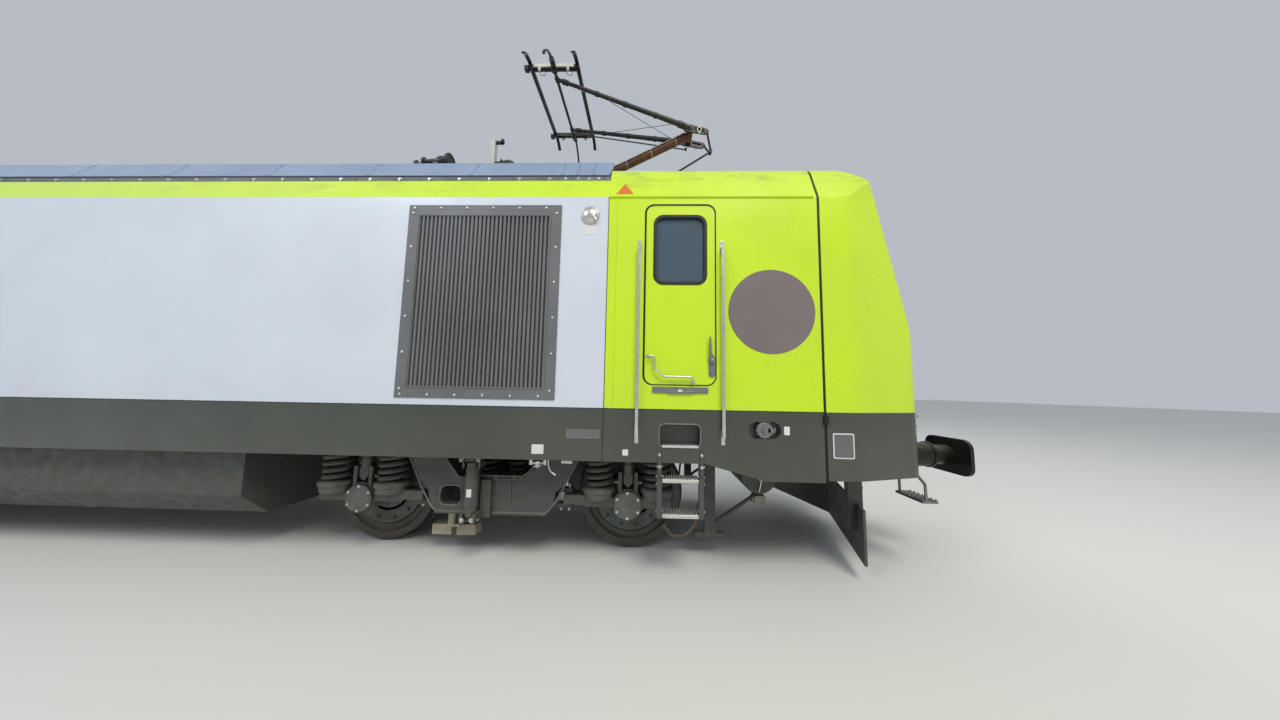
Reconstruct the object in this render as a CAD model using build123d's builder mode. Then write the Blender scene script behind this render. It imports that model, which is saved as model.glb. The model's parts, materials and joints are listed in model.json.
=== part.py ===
from build123d import *
from math import cos, hypot, radians, sin
import os

# Electric locomotive on two bogies, with one pantograph near its first cab.
# All sizes are in millimetres. X runs along the locomotive with the first cab at +X,
# Y across it, Z up, and Z = 0 is at the wheel flanges' tips.

os.makedirs("parts", exist_ok=True)

# Lengths, from the buffers inwards
LENGTH = 19975
BUFFER_REACH = 617.5
NOSE_LENGTH = 992
SEAM = 25
CAB_LENGTH = 1968
OVERHANG = 4120
HALF_WHEELBASE = 1350
HEADSTOCK = LENGTH / 2 - BUFFER_REACH
NOSE_REAR = HEADSTOCK - NOSE_LENGTH
CAB_FRONT = NOSE_REAR - SEAM
CAB_REAR = CAB_FRONT - CAB_LENGTH
PIVOT_X = HEADSTOCK - OVERHANG

# Wheels: the rail's top is one flange height above the flange tips
WHEEL_R = 550
FLANGE = 30
AXLE_Z = FLANGE + WHEEL_R

# Heights and widths of the body shell
HALF_WIDTH = 1506
SILL_BOTTOM = 1067
SILL_TOP = 1540
CREASE_Z = 3560
CANTRAIL_TOP = CREASE_Z + 230
SHOULDER = (HALF_WIDTH - 121, CREASE_Z + 300)
ROOF_EDGE = (HALF_WIDTH - 341, CREASE_Z + 466)
ROOF_TOP = CREASE_Z + 520
WALL = 80
SILL_WALL = 150
FLOOR = (SILL_TOP - 200, SILL_TOP - 100)
CAB_FLOOR = (SILL_TOP + 110, SILL_TOP + 180)
DECK = (CANTRAIL_TOP, CANTRAIL_TOP + 60)


def body_face(foot, inset=0):
    """Cross-section of the body from the foot up, drawn in the YZ plane."""
    rise = ROOF_TOP - ROOF_EDGE[1]
    crown_r = (ROOF_EDGE[0] ** 2 + rise**2) / (2 * rise)
    with BuildSketch() as face:
        with BuildLine():
            side = Polyline((0, foot), (HALF_WIDTH, foot), (HALF_WIDTH, CREASE_Z), SHOULDER)
            TangentArc(SHOULDER, ROOF_EDGE, tangent=side % 1)
            RadiusArc(ROOF_EDGE, (0, ROOF_TOP), -crown_r)
            Line((0, ROOF_TOP), (0, foot))
        make_face()
        mirror(about=Plane.YZ)
        if inset:
            offset(amount=-inset, kind=Kind.INTERSECTION, mode=Mode.REPLACE)
    return face.sketch


def save(name, part):
    """Labels one finished piece and writes it as its own file."""
    part.label = name
    export_step(part, f"parts/{name}.step")


def middle(span):
    """The middle of a span."""
    return sum(span) / 2


def width(span):
    """The width of a span."""
    return span[1] - span[0]


def block(x, y, z, mode=Mode.ADD):
    """A block between two stations along each axis."""
    with Locations((middle(x), middle(y), middle(z))):
        Box(width(x), width(y), width(z), mode=mode)


# Door opening, leaf and window in the cab's side
DOOR_X = (CAB_FRONT - 1613, CAB_FRONT - 946)
DOOR_Z = (SILL_TOP + 215, CREASE_Z - 73)
DOOR_R = 90
DOOR_GAP = 10
LEAF_INSET = 6
HINGE_R = 8
HINGE_BARREL = 120
HINGES_Z = (DOOR_Z[0] + 200, DOOR_Z[0] + 806, DOOR_Z[0] + 1412)
PANE_X = (DOOR_X[0] + 93, DOOR_X[1] - 99)
PANE_Z = (DOOR_Z[1] - 776, DOOR_Z[1] - 120)
PANE_R = 80
PANE_THICK = 10
PANE_INSET = 25


def door_face(gap=0):
    """Side view of the door opening, or of the leaf where a gap is given."""
    with BuildSketch(Plane.XZ) as face:
        with Locations((middle(DOOR_X), middle(DOOR_Z))):
            RectangleRounded(width(DOOR_X) - 2 * gap, width(DOOR_Z) - 2 * gap, DOOR_R - gap)
    return face.sketch


def pane_face():
    """Side view of the door's window."""
    with BuildSketch(Plane.XZ) as face:
        with Locations((middle(PANE_X), middle(PANE_Z))):
            RectangleRounded(width(PANE_X), width(PANE_Z), PANE_R)
    return face.sketch


# Cab shells: roof and both side walls in one bent section, with the door openings cut
with BuildPart() as cab_shell_a:
    with BuildSketch(Plane.YZ.offset(CAB_REAR)):
        add(body_face(SILL_TOP))
        add(body_face(SILL_TOP - 2 * WALL, WALL), mode=Mode.SUBTRACT)
    extrude(amount=CAB_LENGTH)
    extrude(door_face(), amount=2 * HALF_WIDTH, both=True, mode=Mode.SUBTRACT)
save("cab_shell_a", cab_shell_a.part)
save("cab_shell_b", mirror(cab_shell_a.part, about=Plane.YZ))

# Door leaves and their panes, one body for each door
DOOR_SIDES = (
    # name, side across, end along
    ("door_a_right", -1, 1),
    ("door_a_left", 1, 1),
    ("door_b_right", -1, -1),
    ("door_b_left", 1, -1),
)
LEAF_Y = (HALF_WIDTH - WALL, HALF_WIDTH - LEAF_INSET)
with BuildPart() as leaf:
    with BuildSketch(Plane.XZ.offset(-LEAF_Y[0])):
        add(door_face(DOOR_GAP))
        add(pane_face(), mode=Mode.SUBTRACT)
    extrude(amount=-width(LEAF_Y))
    for z in HINGES_Z:
        with BuildSketch(Plane.XY.offset(z)):
            with Locations((DOOR_X[0] + DOOR_GAP, LEAF_Y[0])):
                Circle(HINGE_R)
        extrude(amount=HINGE_BARREL)
with BuildPart() as pane:
    with BuildSketch(Plane.XZ.offset(PANE_INSET - LEAF_Y[1])):
        add(pane_face())
    extrude(amount=PANE_THICK)
for name, across, end in DOOR_SIDES:
    for piece, kind in ((leaf.part, "leaf"), (pane.part, "pane")):
        placed = piece if across > 0 else mirror(piece, about=Plane.XZ)
        placed = placed if end > 0 else mirror(placed, about=Plane.YZ)
        save(f"{name}_{kind}", placed)

# Nose modules ahead of the cab: side outline, plan outline and body section in one form
CHIN = (HEADSTOCK - 20, SILL_TOP + 610)
BROW = (HEADSTOCK - 480, CREASE_Z + 250)
CROWN = (HEADSTOCK - 920, ROOF_TOP)
CHIN_R = 350
BROW_R = 150
NOSE_KNEE = (HEADSTOCK - 730, HALF_WIDTH)
NOSE_CORNER = (HEADSTOCK, HALF_WIDTH - 216)
KNEE_R = 400
CORNER_R = 150


def at_x(items, x):
    """The vertices that stand at one station along the locomotive."""
    return items.filter_by_position(Axis.X, x - 1, x + 1)


def nose_plan(rear, inset=0):
    """Plan outline of the nose, from the station given to the headstock."""
    with BuildSketch() as plan:
        with BuildLine():
            Polyline((rear, 0), (rear, HALF_WIDTH), NOSE_KNEE, NOSE_CORNER, (HEADSTOCK, 0), close=True)
        make_face()
        mirror(about=Plane.XZ)
        fillet(at_x(plan.vertices(), NOSE_KNEE[0]), KNEE_R)
        fillet(at_x(plan.vertices(), HEADSTOCK), CORNER_R)
        if inset:
            offset(amount=-inset, mode=Mode.REPLACE)
    return plan.sketch


def nose_side(rear, foot, inset=0):
    """Side outline of the nose: headstock, chin, raked windscreen, brow and roof."""
    with BuildSketch(Plane.XZ) as side:
        with BuildLine():
            Polyline((rear, foot), (HEADSTOCK, foot), CHIN, BROW, CROWN, (rear, ROOF_TOP), close=True)
        make_face()
        fillet(at_x(side.vertices(), CHIN[0]), CHIN_R)
        fillet(at_x(side.vertices(), BROW[0]), BROW_R)
        if inset:
            offset(amount=-inset, mode=Mode.REPLACE)
    return side.sketch


def slope_plane(low, high):
    """A plane on the middle of a sloping edge of the nose's side outline, facing out."""
    return Plane(
        origin=((low[0] + high[0]) / 2, 0, (low[1] + high[1]) / 2), x_dir=(0, 1, 0),
        z_dir=(high[1] - low[1], 0, low[0] - high[0]),
    )


# Windscreen, in the plane of the raked front, and the head lamp above it
SCREEN_PLANE = slope_plane(CHIN, BROW)
SCREEN_SIZE = (2140, 1150)
SCREEN_R = 140
SCREEN_INSET = 8
SCREEN_THICK = 20
TOP_LAMP_PLANE = slope_plane(BROW, CROWN)
TOP_LAMP_SIZE = (420, 130)

# Lower head lamps, let into the nose below the windscreen
LAMP_AT = (880, SILL_TOP + 340)
LAMP_SIZE = (420, 190)
LAMP_R = 60
LAMP_DEPTH = 60
LAMP_PROUD = 10


def screen_face(inset=0):
    """Outline of the windscreen, sunk under the raked front."""
    with BuildSketch(SCREEN_PLANE.offset(-inset)) as face:
        RectangleRounded(*SCREEN_SIZE, SCREEN_R)
    return face.sketch


def top_lamp_face():
    """Outline of the lamp over the windscreen, sunk under the sloping brow."""
    with BuildSketch(TOP_LAMP_PLANE.offset(-LAMP_DEPTH)) as face:
        RectangleRounded(*TOP_LAMP_SIZE, LAMP_R)
    return face.sketch


def lamp_faces():
    """Outlines of the two lower lamps at the back of their recesses, seen from ahead."""
    with BuildSketch(Plane.YZ.offset(HEADSTOCK - LAMP_DEPTH)) as faces:
        with Locations((-LAMP_AT[0], LAMP_AT[1]), (LAMP_AT[0], LAMP_AT[1])):
            RectangleRounded(*LAMP_SIZE, LAMP_R)
    return faces.sketch


with BuildPart() as hollow:
    extrude(nose_side(NOSE_REAR - 2 * WALL, SILL_TOP - 2 * WALL, WALL), amount=HALF_WIDTH, both=True)
    with BuildSketch(Plane.XY.offset(SILL_TOP - 2 * WALL)):
        add(nose_plan(NOSE_REAR - 2 * WALL, WALL))
    extrude(amount=ROOF_TOP, mode=Mode.INTERSECT)
    with BuildSketch(Plane.YZ.offset(NOSE_REAR - 2 * WALL)):
        add(body_face(SILL_TOP - 3 * WALL, WALL))
    extrude(amount=NOSE_LENGTH + 2 * WALL, mode=Mode.INTERSECT)
with BuildPart() as nose_a:
    extrude(nose_side(NOSE_REAR, SILL_TOP), amount=HALF_WIDTH, both=True)
    with BuildSketch(Plane.XY.offset(SILL_TOP)):
        add(nose_plan(NOSE_REAR))
    extrude(amount=ROOF_TOP, mode=Mode.INTERSECT)
    with BuildSketch(Plane.YZ.offset(NOSE_REAR)):
        add(body_face(SILL_TOP))
    extrude(amount=NOSE_LENGTH, mode=Mode.INTERSECT)
    add(hollow.part, mode=Mode.SUBTRACT)
    extrude(screen_face(), amount=2 * WALL, both=True, mode=Mode.SUBTRACT)
    extrude(lamp_faces(), amount=2 * LAMP_DEPTH, mode=Mode.SUBTRACT)
    extrude(top_lamp_face(), amount=2 * LAMP_DEPTH, mode=Mode.SUBTRACT)
save("nose_a", nose_a.part)
save("nose_b", mirror(nose_a.part, about=Plane.YZ))

with BuildPart() as windscreens:
    extrude(screen_face(SCREEN_INSET), amount=-SCREEN_THICK)
    mirror(about=Plane.YZ)
save("windscreens", windscreens.part)

with BuildPart() as lamps:
    extrude(lamp_faces(), amount=LAMP_DEPTH + LAMP_PROUD)
    extrude(top_lamp_face(), amount=LAMP_DEPTH + LAMP_PROUD)
    mirror(about=Plane.YZ)
save("lamps", lamps.part)

# Rubber seams between cab and nose
SEAM_INSET = 8
SEAM_DEPTH = 60
APRON_BOTTOM = SILL_BOTTOM - 122
with BuildPart() as seams:
    with BuildSketch(Plane.YZ.offset(CAB_FRONT)):
        add(body_face(APRON_BOTTOM, SEAM_INSET))
        add(body_face(APRON_BOTTOM - 2 * WALL, SEAM_DEPTH), mode=Mode.SUBTRACT)
    extrude(amount=SEAM)
    mirror(about=Plane.YZ)
save("seams", seams.part)

# Aprons under the noses: the headstock with its walls, open below
APRON_WALL = 110
HEADSTOCK_THICK = 220
with BuildPart() as aprons:
    with BuildSketch(Plane.XY.offset(APRON_BOTTOM)):
        add(nose_plan(NOSE_REAR))
    extrude(amount=SILL_TOP - APRON_BOTTOM)
    with BuildSketch(Plane.XY.offset(APRON_BOTTOM)):
        add(nose_plan(NOSE_REAR - 3 * APRON_WALL, APRON_WALL))
        with Locations((HEADSTOCK, 0)):
            Rectangle(2 * HEADSTOCK_THICK, 2 * HALF_WIDTH, mode=Mode.SUBTRACT)
    extrude(amount=SILL_TOP - APRON_BOTTOM - WALL, mode=Mode.SUBTRACT)
    mirror(about=Plane.YZ)
save("aprons", aprons.part)

# Side grilles behind the cabs
GRILLE_X = (CAB_REAR - 1955, CAB_REAR - 455)
GRILLE_Z = (SILL_TOP + 65, CREASE_Z - 87)
GRILLE_BORDER = 110
GRILLE_PROUD = 8
GRILLE_DEPTH = 60
SLAT_PITCH = 40
SLAT_GAP = 18
SLAT_DEPTH = 35

# Side walls of the machine room, with the grille openings cut
with BuildPart() as side_walls:
    block((-CAB_REAR, CAB_REAR), (HALF_WIDTH - WALL, HALF_WIDTH), (SILL_TOP, CREASE_Z))
    for end in (-1, 1):
        with Locations((end * middle(GRILLE_X), HALF_WIDTH - WALL / 2, middle(GRILLE_Z))):
            Box(width(GRILLE_X), 2 * WALL, width(GRILLE_Z), mode=Mode.SUBTRACT)
    mirror(about=Plane.XZ)
save("side_walls", side_walls.part)

# Each grille is a frame with upright slats in front of a closed filter sheet
GRILLE_FACE = HALF_WIDTH + GRILLE_PROUD
SLATS = int((width(GRILLE_X) - 2 * GRILLE_BORDER) // SLAT_PITCH)
with BuildPart() as grilles:
    with Locations((middle(GRILLE_X), GRILLE_FACE - GRILLE_DEPTH / 2, middle(GRILLE_Z))):
        Box(width(GRILLE_X), GRILLE_DEPTH, width(GRILLE_Z))
    with Locations((middle(GRILLE_X), GRILLE_FACE - SLAT_DEPTH / 2, middle(GRILLE_Z))):
        with GridLocations(SLAT_PITCH, 1, SLATS, 1):
            Box(SLAT_GAP, SLAT_DEPTH, width(GRILLE_Z) - 2 * GRILLE_BORDER, mode=Mode.SUBTRACT)
    mirror(about=Plane.YZ)
    mirror(about=Plane.XZ)
save("grilles", grilles.part)

# Cantrails: the bent upper edge of the side between the cabs
LEAN = (HALF_WIDTH - SHOULDER[0]) / (SHOULDER[1] - CREASE_Z)
CANTRAIL_Y = HALF_WIDTH - LEAN * (CANTRAIL_TOP - CREASE_Z)
with BuildPart() as cantrails:
    with BuildSketch(Plane.YZ.offset(-CAB_REAR)):
        with BuildLine():
            Polyline(
                (HALF_WIDTH - WALL, CREASE_Z), (HALF_WIDTH, CREASE_Z), (CANTRAIL_Y, CANTRAIL_TOP),
                (CANTRAIL_Y - WALL, CANTRAIL_TOP), close=True,
            )
        make_face()
    extrude(amount=2 * CAB_REAR)
    mirror(about=Plane.XZ)
save("cantrails", cantrails.part)

# Roof deck between the cabs
DECK_HALF = HALF_WIDTH - 116
with BuildPart() as roof_deck:
    block((-CAB_REAR, CAB_REAR), (-DECK_HALF, DECK_HALF), DECK)
save("roof_deck", roof_deck.part)

# Edge fairings: leaning screens along the roof on a row of short ribs
FAIRING_FOOT = (HALF_WIDTH - 108, DECK[1] + 12)
FAIRING_TOP = (HALF_WIDTH - 251, DECK[1] + 250)
FAIRING_THICK = 30
FAIRING_HALF = (CAB_REAR - 20, CAB_REAR + 15)
RIB_THICK = 20
RIBS = 13
RIB_HALF = CAB_REAR - 235
RIB_DROP = 60
RIB_DEPTH = 180
with BuildPart() as fairings:
    with BuildSketch(Plane.YZ.offset(-FAIRING_HALF[1])):
        with BuildLine():
            Polyline(
                FAIRING_FOOT, FAIRING_TOP, (FAIRING_TOP[0] - FAIRING_THICK, FAIRING_TOP[1]),
                (FAIRING_FOOT[0] - FAIRING_THICK, FAIRING_FOOT[1]), close=True,
            )
        make_face()
    extrude(amount=2 * FAIRING_HALF[1])
    with BuildSketch(Plane.XZ):
        with BuildLine():
            Polyline(
                (0, FAIRING_FOOT[1]), (FAIRING_HALF[0], FAIRING_FOOT[1]), (FAIRING_HALF[1], FAIRING_TOP[1]),
                (0, FAIRING_TOP[1]), close=True,
            )
        make_face()
        mirror(about=Plane.YZ)
    extrude(amount=2 * HALF_WIDTH, both=True, mode=Mode.INTERSECT)
    with BuildSketch(Plane.YZ) as rib:
        with BuildLine():
            Polyline(
                (FAIRING_FOOT[0] - FAIRING_THICK / 2, FAIRING_FOOT[1] + RIB_THICK),
                (FAIRING_FOOT[0] - FAIRING_THICK, FAIRING_FOOT[1]), (DECK_HALF - 2 * RIB_THICK, DECK[1]),
                (DECK_HALF - 2 * RIB_THICK - RIB_DEPTH, DECK[1]),
                (FAIRING_TOP[0] - FAIRING_THICK, FAIRING_TOP[1] - RIB_DROP),
                (FAIRING_TOP[0] - FAIRING_THICK / 2, FAIRING_TOP[1] - RIB_DROP), close=True,
            )
        make_face()
    with GridLocations(2 * RIB_HALF / (RIBS - 1), 1, RIBS, 1):
        extrude(rib.sketch, amount=RIB_THICK / 2, both=True)
    mirror(about=Plane.XZ)
save("fairings", fairings.part)

# Rear walls of the cabs, inside the shell's section
BULKHEAD = 60
with BuildPart() as bulkheads:
    with BuildSketch(Plane.YZ.offset(CAB_REAR)):
        add(body_face(SILL_TOP - WALL, WALL))
    extrude(amount=BULKHEAD)
    mirror(about=Plane.YZ)
save("bulkheads", bulkheads.part)

# Cab floors
CAB_FLOOR_END = NOSE_REAR + 182
with BuildPart() as cab_floors:
    block((CAB_REAR + BULKHEAD, CAB_FLOOR_END), (WALL - HALF_WIDTH, HALF_WIDTH - WALL), CAB_FLOOR)
    mirror(about=Plane.YZ)
save("cab_floors", cab_floors.part)

# Side sills: the dark band below the body in three lengths a side, jointed where the cab's colour starts,
# with the step recess and the filler recess in the end lengths
STEP_X = (DOOR_X[0] + 154, DOOR_X[1] - 147)
STEP_Z = (SILL_BOTTOM + 143, SILL_BOTTOM + 342)
STEP_R = 45
STEP_DEPTH = 120
SILL_KNEE = (STEP_X[1] + 36, SILL_BOTTOM)
SILL_DROP = (SILL_KNEE[0] + 541, SILL_BOTTOM - 140)
FILLER_X = (DOOR_X[1] + 281, DOOR_X[1] + 566)
FILLER_Z = (SILL_BOTTOM + 227, SILL_BOTTOM + 381)
FILLER_DEPTH = 60
FILLER_CAP_R = 70
SILL_JOINT = (CAB_REAR - 5, CAB_REAR)
with BuildPart() as side_sills:
    block((0, SILL_JOINT[0]), (HALF_WIDTH - SILL_WALL, HALF_WIDTH), (SILL_BOTTOM, SILL_TOP))
    with BuildSketch(Plane.XZ.offset(-HALF_WIDTH)):
        with BuildLine():
            Polyline(
                (SILL_JOINT[1], SILL_TOP), (SILL_JOINT[1], SILL_BOTTOM), SILL_KNEE, SILL_DROP,
                (CAB_FRONT, SILL_DROP[1]), (CAB_FRONT, SILL_TOP), close=True,
            )
        make_face()
    extrude(amount=SILL_WALL)
    with BuildSketch(Plane.XZ.offset(-HALF_WIDTH)):
        with Locations((middle(STEP_X), middle(STEP_Z))):
            RectangleRounded(width(STEP_X), width(STEP_Z), STEP_R)
    extrude(amount=STEP_DEPTH, mode=Mode.SUBTRACT)
    with BuildSketch(Plane.XZ.offset(-HALF_WIDTH)):
        with Locations((middle(FILLER_X), middle(FILLER_Z))):
            SlotOverall(width(FILLER_X), width(FILLER_Z))
            Circle(FILLER_CAP_R, mode=Mode.SUBTRACT)
    extrude(amount=FILLER_DEPTH, mode=Mode.SUBTRACT)
    mirror(about=Plane.YZ)
    mirror(about=Plane.XZ)
save("side_sills", side_sills.part)

# Underframe: floor plate, cross bearers, the pins that the bogies turn on, and air reservoirs on hangers
PIN_R = 140
PIN_BOTTOM = 700
BEARER = (160, 90)
BEARER_X = (700, 2100, PIVOT_X - 2200, CAB_FRONT - 753, CAB_FRONT - 153)
FLOOR_HALF = HALF_WIDTH - SILL_WALL
RESERVOIR_R = 165
RESERVOIR_AT = (CAB_FRONT - 478, SILL_BOTTOM - 174)
RESERVOIR_Y = (560, 1200)
HANGER = (120, 30)
BRACKET_X = (PIVOT_X - 240, PIVOT_X - 70)
BRACKET_Y = (1225, 1325)
BRACKET_FOOT = 995
with BuildPart() as underframe:
    block((0, CAB_FRONT), (-FLOOR_HALF, FLOOR_HALF), FLOOR)
    with Locations(*[(x, 0, FLOOR[0] - BEARER[1] / 2) for x in BEARER_X]):
        Box(BEARER[0], 2 * FLOOR_HALF, BEARER[1])
    with BuildSketch(Plane.XY.offset(FLOOR[0])):
        with Locations((PIVOT_X, 0)):
            Circle(PIN_R)
    extrude(amount=PIN_BOTTOM - FLOOR[0])
    for side in (-1, 1):
        with BuildSketch(Plane.XZ.offset(-side * RESERVOIR_Y[0])):
            with Locations(RESERVOIR_AT):
                Circle(RESERVOIR_R)
        extrude(amount=-side * width(RESERVOIR_Y))
        for y in RESERVOIR_Y:
            inner = side * (y + HANGER[0] * (1 if y == RESERVOIR_Y[0] else -1))
            with Locations((RESERVOIR_AT[0], inner, (RESERVOIR_AT[1] + FLOOR[0]) / 2)):
                Box(HANGER[0], HANGER[1], FLOOR[0] - RESERVOIR_AT[1])
        block(BRACKET_X, sorted(side * y for y in BRACKET_Y), (BRACKET_FOOT, FLOOR[0]))
    mirror(about=Plane.YZ)
save("underframe", underframe.part)

# Step ladders below the doors, hung on tabs that lie against the sill
STRINGER_X = (STEP_X[0] - 18, STEP_X[1] - 10)
STRINGER_W = 44
STRINGER_Y = (HALF_WIDTH - 60, HALF_WIDTH)
LADDER_FOOT = 592
TREAD_Z = (LADDER_FOOT + 16, LADDER_FOOT + 316)
TREAD = (150, 32)
TAB = (26, 12)
TAB_Z = (SILL_BOTTOM - 117, SILL_BOTTOM + 100)
with BuildPart() as ladders:
    for x in STRINGER_X:
        block((x, x + STRINGER_W), STRINGER_Y, (LADDER_FOOT, SILL_BOTTOM))
        tab_x = x + (STRINGER_W - TAB[0]) / 2
        block((tab_x, tab_x + TAB[0]), (HALF_WIDTH, HALF_WIDTH + TAB[1]), TAB_Z)
    for z in TREAD_Z:
        block(
            (STRINGER_X[0] + STRINGER_W, STRINGER_X[1]), (HALF_WIDTH - TREAD[0], HALF_WIDTH),
            (z - TREAD[1] / 2, z + TREAD[1] / 2),
        )
    mirror(about=Plane.XZ)
    mirror(about=Plane.YZ)
save("ladders", ladders.part)

# Handrails each side of the doors: flat bars on end plates, standing off the side
RAIL_X = (DOOR_X[0] - 53, DOOR_X[1] + 54)
RAIL_Z = (SILL_BOTTOM + 233, DOOR_Z[1] - 432)
RAIL_BAR = (28, 12)
RAIL_OFF = 46
RAIL_PLATE = (34, 6, 130)
with BuildPart() as handrails:
    outer = HALF_WIDTH + RAIL_OFF
    for x in RAIL_X:
        with BuildSketch(Plane.YZ.offset(x - RAIL_BAR[0] / 2)):
            with BuildLine():
                Polyline(
                    (HALF_WIDTH, RAIL_Z[0]), (outer, RAIL_Z[0]), (outer, RAIL_Z[1]),
                    (HALF_WIDTH, RAIL_Z[1]), (HALF_WIDTH, RAIL_Z[1] - RAIL_BAR[1]),
                    (outer - RAIL_BAR[1], RAIL_Z[1] - RAIL_BAR[1]),
                    (outer - RAIL_BAR[1], RAIL_Z[0] + RAIL_BAR[1]),
                    (HALF_WIDTH, RAIL_Z[0] + RAIL_BAR[1]), close=True,
                )
            make_face()
        extrude(amount=RAIL_BAR[0])
        for z in RAIL_Z:
            with Locations((x, HALF_WIDTH + RAIL_PLATE[1] / 2, z)):
                Box(*RAIL_PLATE)
    mirror(about=Plane.XZ)
    mirror(about=Plane.YZ)
save("handrails", handrails.part)

# Buffers
BUFFER_Y = 875
BUFFER_Z = 1085
BUFFER_FACE = LENGTH / 2
BUFFER_PLATE = (520, 360)
BUFFER_PLATE_R = 90
BUFFER_PLATE_THICK = 35
BUFFER_BASE = (380, 380, 30)
SLEEVE_R = 125
SLEEVE_LENGTH = 370
PLUNGER_R = 100
with BuildPart() as buffers:
    with Locations((HEADSTOCK + BUFFER_BASE[2] / 2, BUFFER_Y, BUFFER_Z)):
        Box(BUFFER_BASE[2], BUFFER_BASE[0], BUFFER_BASE[1])
    for radius, length in ((SLEEVE_R, SLEEVE_LENGTH), (PLUNGER_R, BUFFER_REACH)):
        with BuildSketch(Plane.YZ.offset(HEADSTOCK)):
            with Locations((BUFFER_Y, BUFFER_Z)):
                Circle(radius)
        extrude(amount=length)
    with BuildSketch(Plane.YZ.offset(BUFFER_FACE)):
        with Locations((BUFFER_Y, BUFFER_Z)):
            RectangleRounded(*BUFFER_PLATE, BUFFER_PLATE_R)
    extrude(amount=-BUFFER_PLATE_THICK)
    mirror(about=Plane.XZ)
    mirror(about=Plane.YZ)
save("buffers", buffers.part)

# Draw hooks
HOOK_THICK = 60
HOOK_PLATE = (40, 330, 260)
HOOK_SIDE = (
    # reach from the plate, height above the buffers' centre, round the hook from its lower root
    (0, -50), (190, -60), (270, -10), (280, 90), (240, 130), (222, 40), (175, 15), (140, 60), (0, 50),
)
with BuildPart() as draw_hooks:
    with Locations((HEADSTOCK + HOOK_PLATE[0] / 2, 0, BUFFER_Z)):
        Box(*HOOK_PLATE)
    with BuildSketch(Plane.XZ):
        with BuildLine():
            Polyline(*[(HEADSTOCK + HOOK_PLATE[0] + x, BUFFER_Z + z) for x, z in HOOK_SIDE], close=True)
        make_face()
    extrude(amount=HOOK_THICK / 2, both=True)
    mirror(about=Plane.YZ)
save("draw_hooks", draw_hooks.part)

# Ploughs under the aprons, on hangers up to the underside of the nose
PLOUGH_Z = (150, 640)
PLOUGH_REAR = HEADSTOCK - 570
PLOUGH_TIP = HEADSTOCK - 170
PLOUGH_HALF = 1320
PLOUGH_THICK = 25
HANGER_X = (PLOUGH_REAR - 40, PLOUGH_REAR + 100)
HANGER_Y = (1070, 1130)
with BuildPart() as ploughs:
    with BuildSketch(Plane.XY.offset(PLOUGH_Z[0])):
        with BuildLine():
            Polyline(
                (PLOUGH_REAR, -PLOUGH_HALF), (PLOUGH_TIP, 0), (PLOUGH_REAR, PLOUGH_HALF),
                (PLOUGH_REAR - PLOUGH_THICK, PLOUGH_HALF), (PLOUGH_TIP - PLOUGH_THICK, 0),
                (PLOUGH_REAR - PLOUGH_THICK, -PLOUGH_HALF), close=True,
            )
        make_face()
    extrude(amount=width(PLOUGH_Z))
    for side in (-1, 1):
        block(HANGER_X, sorted(side * y for y in HANGER_Y), (middle(PLOUGH_Z), SILL_TOP - WALL))
    mirror(about=Plane.YZ)
save("ploughs", ploughs.part)

# Driver's desks
DESK_HALF = 1150
DESK_SIDE = (
    # x from the nose's rear face, height above the cab floor
    (-228, 760), (-128, 810), (382, 880), (482, 840), (482, 680), (212, 630), (182, 0), (102, 0), (72, 610),
    (-228, 720),
)
with BuildPart() as desks:
    with BuildSketch(Plane.XZ):
        with BuildLine():
            Polyline(*[(NOSE_REAR + x, CAB_FLOOR[1] + z) for x, z in DESK_SIDE], close=True)
        make_face()
    extrude(amount=DESK_HALF, both=True)
    mirror(about=Plane.YZ)
save("desks", desks.part)

# Driver's seats on their pillars
SEAT_Y = 520
SEAT_HALF = 240
SEAT_SIDE = (
    # x from the nose's rear face, height above the cab floor, round cushion and back
    (-818, 430), (-418, 450), (-418, 550), (-738, 540), (-818, 1230), (-928, 1230), (-868, 510),
)
PILLAR_R = 70
PILLAR_X = NOSE_REAR - 658
PILLAR_HEIGHT = 440
with BuildPart() as seats:
    for y in (-SEAT_Y, SEAT_Y):
        with BuildSketch(Plane.XZ.offset(-y)):
            with BuildLine():
                Polyline(*[(NOSE_REAR + x, CAB_FLOOR[1] + z) for x, z in SEAT_SIDE], close=True)
            make_face()
        extrude(amount=SEAT_HALF, both=True)
        with BuildSketch(Plane.XY.offset(CAB_FLOOR[1])):
            with Locations((PILLAR_X, y)):
                Circle(PILLAR_R)
        extrude(amount=PILLAR_HEIGHT)
    mirror(about=Plane.YZ)
save("seats", seats.part)

# Heavy masses: the power pack on the floor and the tank between the bogies
PACK_SIZE = (5200, 1500, 1900)
PACK_X = -300
with BuildPart() as power_pack:
    with Locations((PACK_X, 0, FLOOR[1] + PACK_SIZE[2] / 2)):
        Box(*PACK_SIZE)
save("power_pack", power_pack.part)

TANK_HALF = PIVOT_X - 2400
TANK_SIDE = HALF_WIDTH - 176
TANK_Z = (380, FLOOR[0] - 90)
TANK_BEVEL = (250, 240)
with BuildPart() as underfloor_tank:
    with BuildSketch(Plane.YZ.offset(-TANK_HALF)):
        with BuildLine():
            Polyline(
                (0, TANK_Z[0]), (TANK_SIDE - TANK_BEVEL[0], TANK_Z[0]),
                (TANK_SIDE, TANK_Z[0] + TANK_BEVEL[1]),
                (TANK_SIDE, TANK_Z[1]), (0, TANK_Z[1]), close=True,
            )
        make_face()
        mirror(about=Plane.YZ)
    extrude(amount=2 * TANK_HALF)
save("underfloor_tank", underfloor_tank.part)

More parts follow.
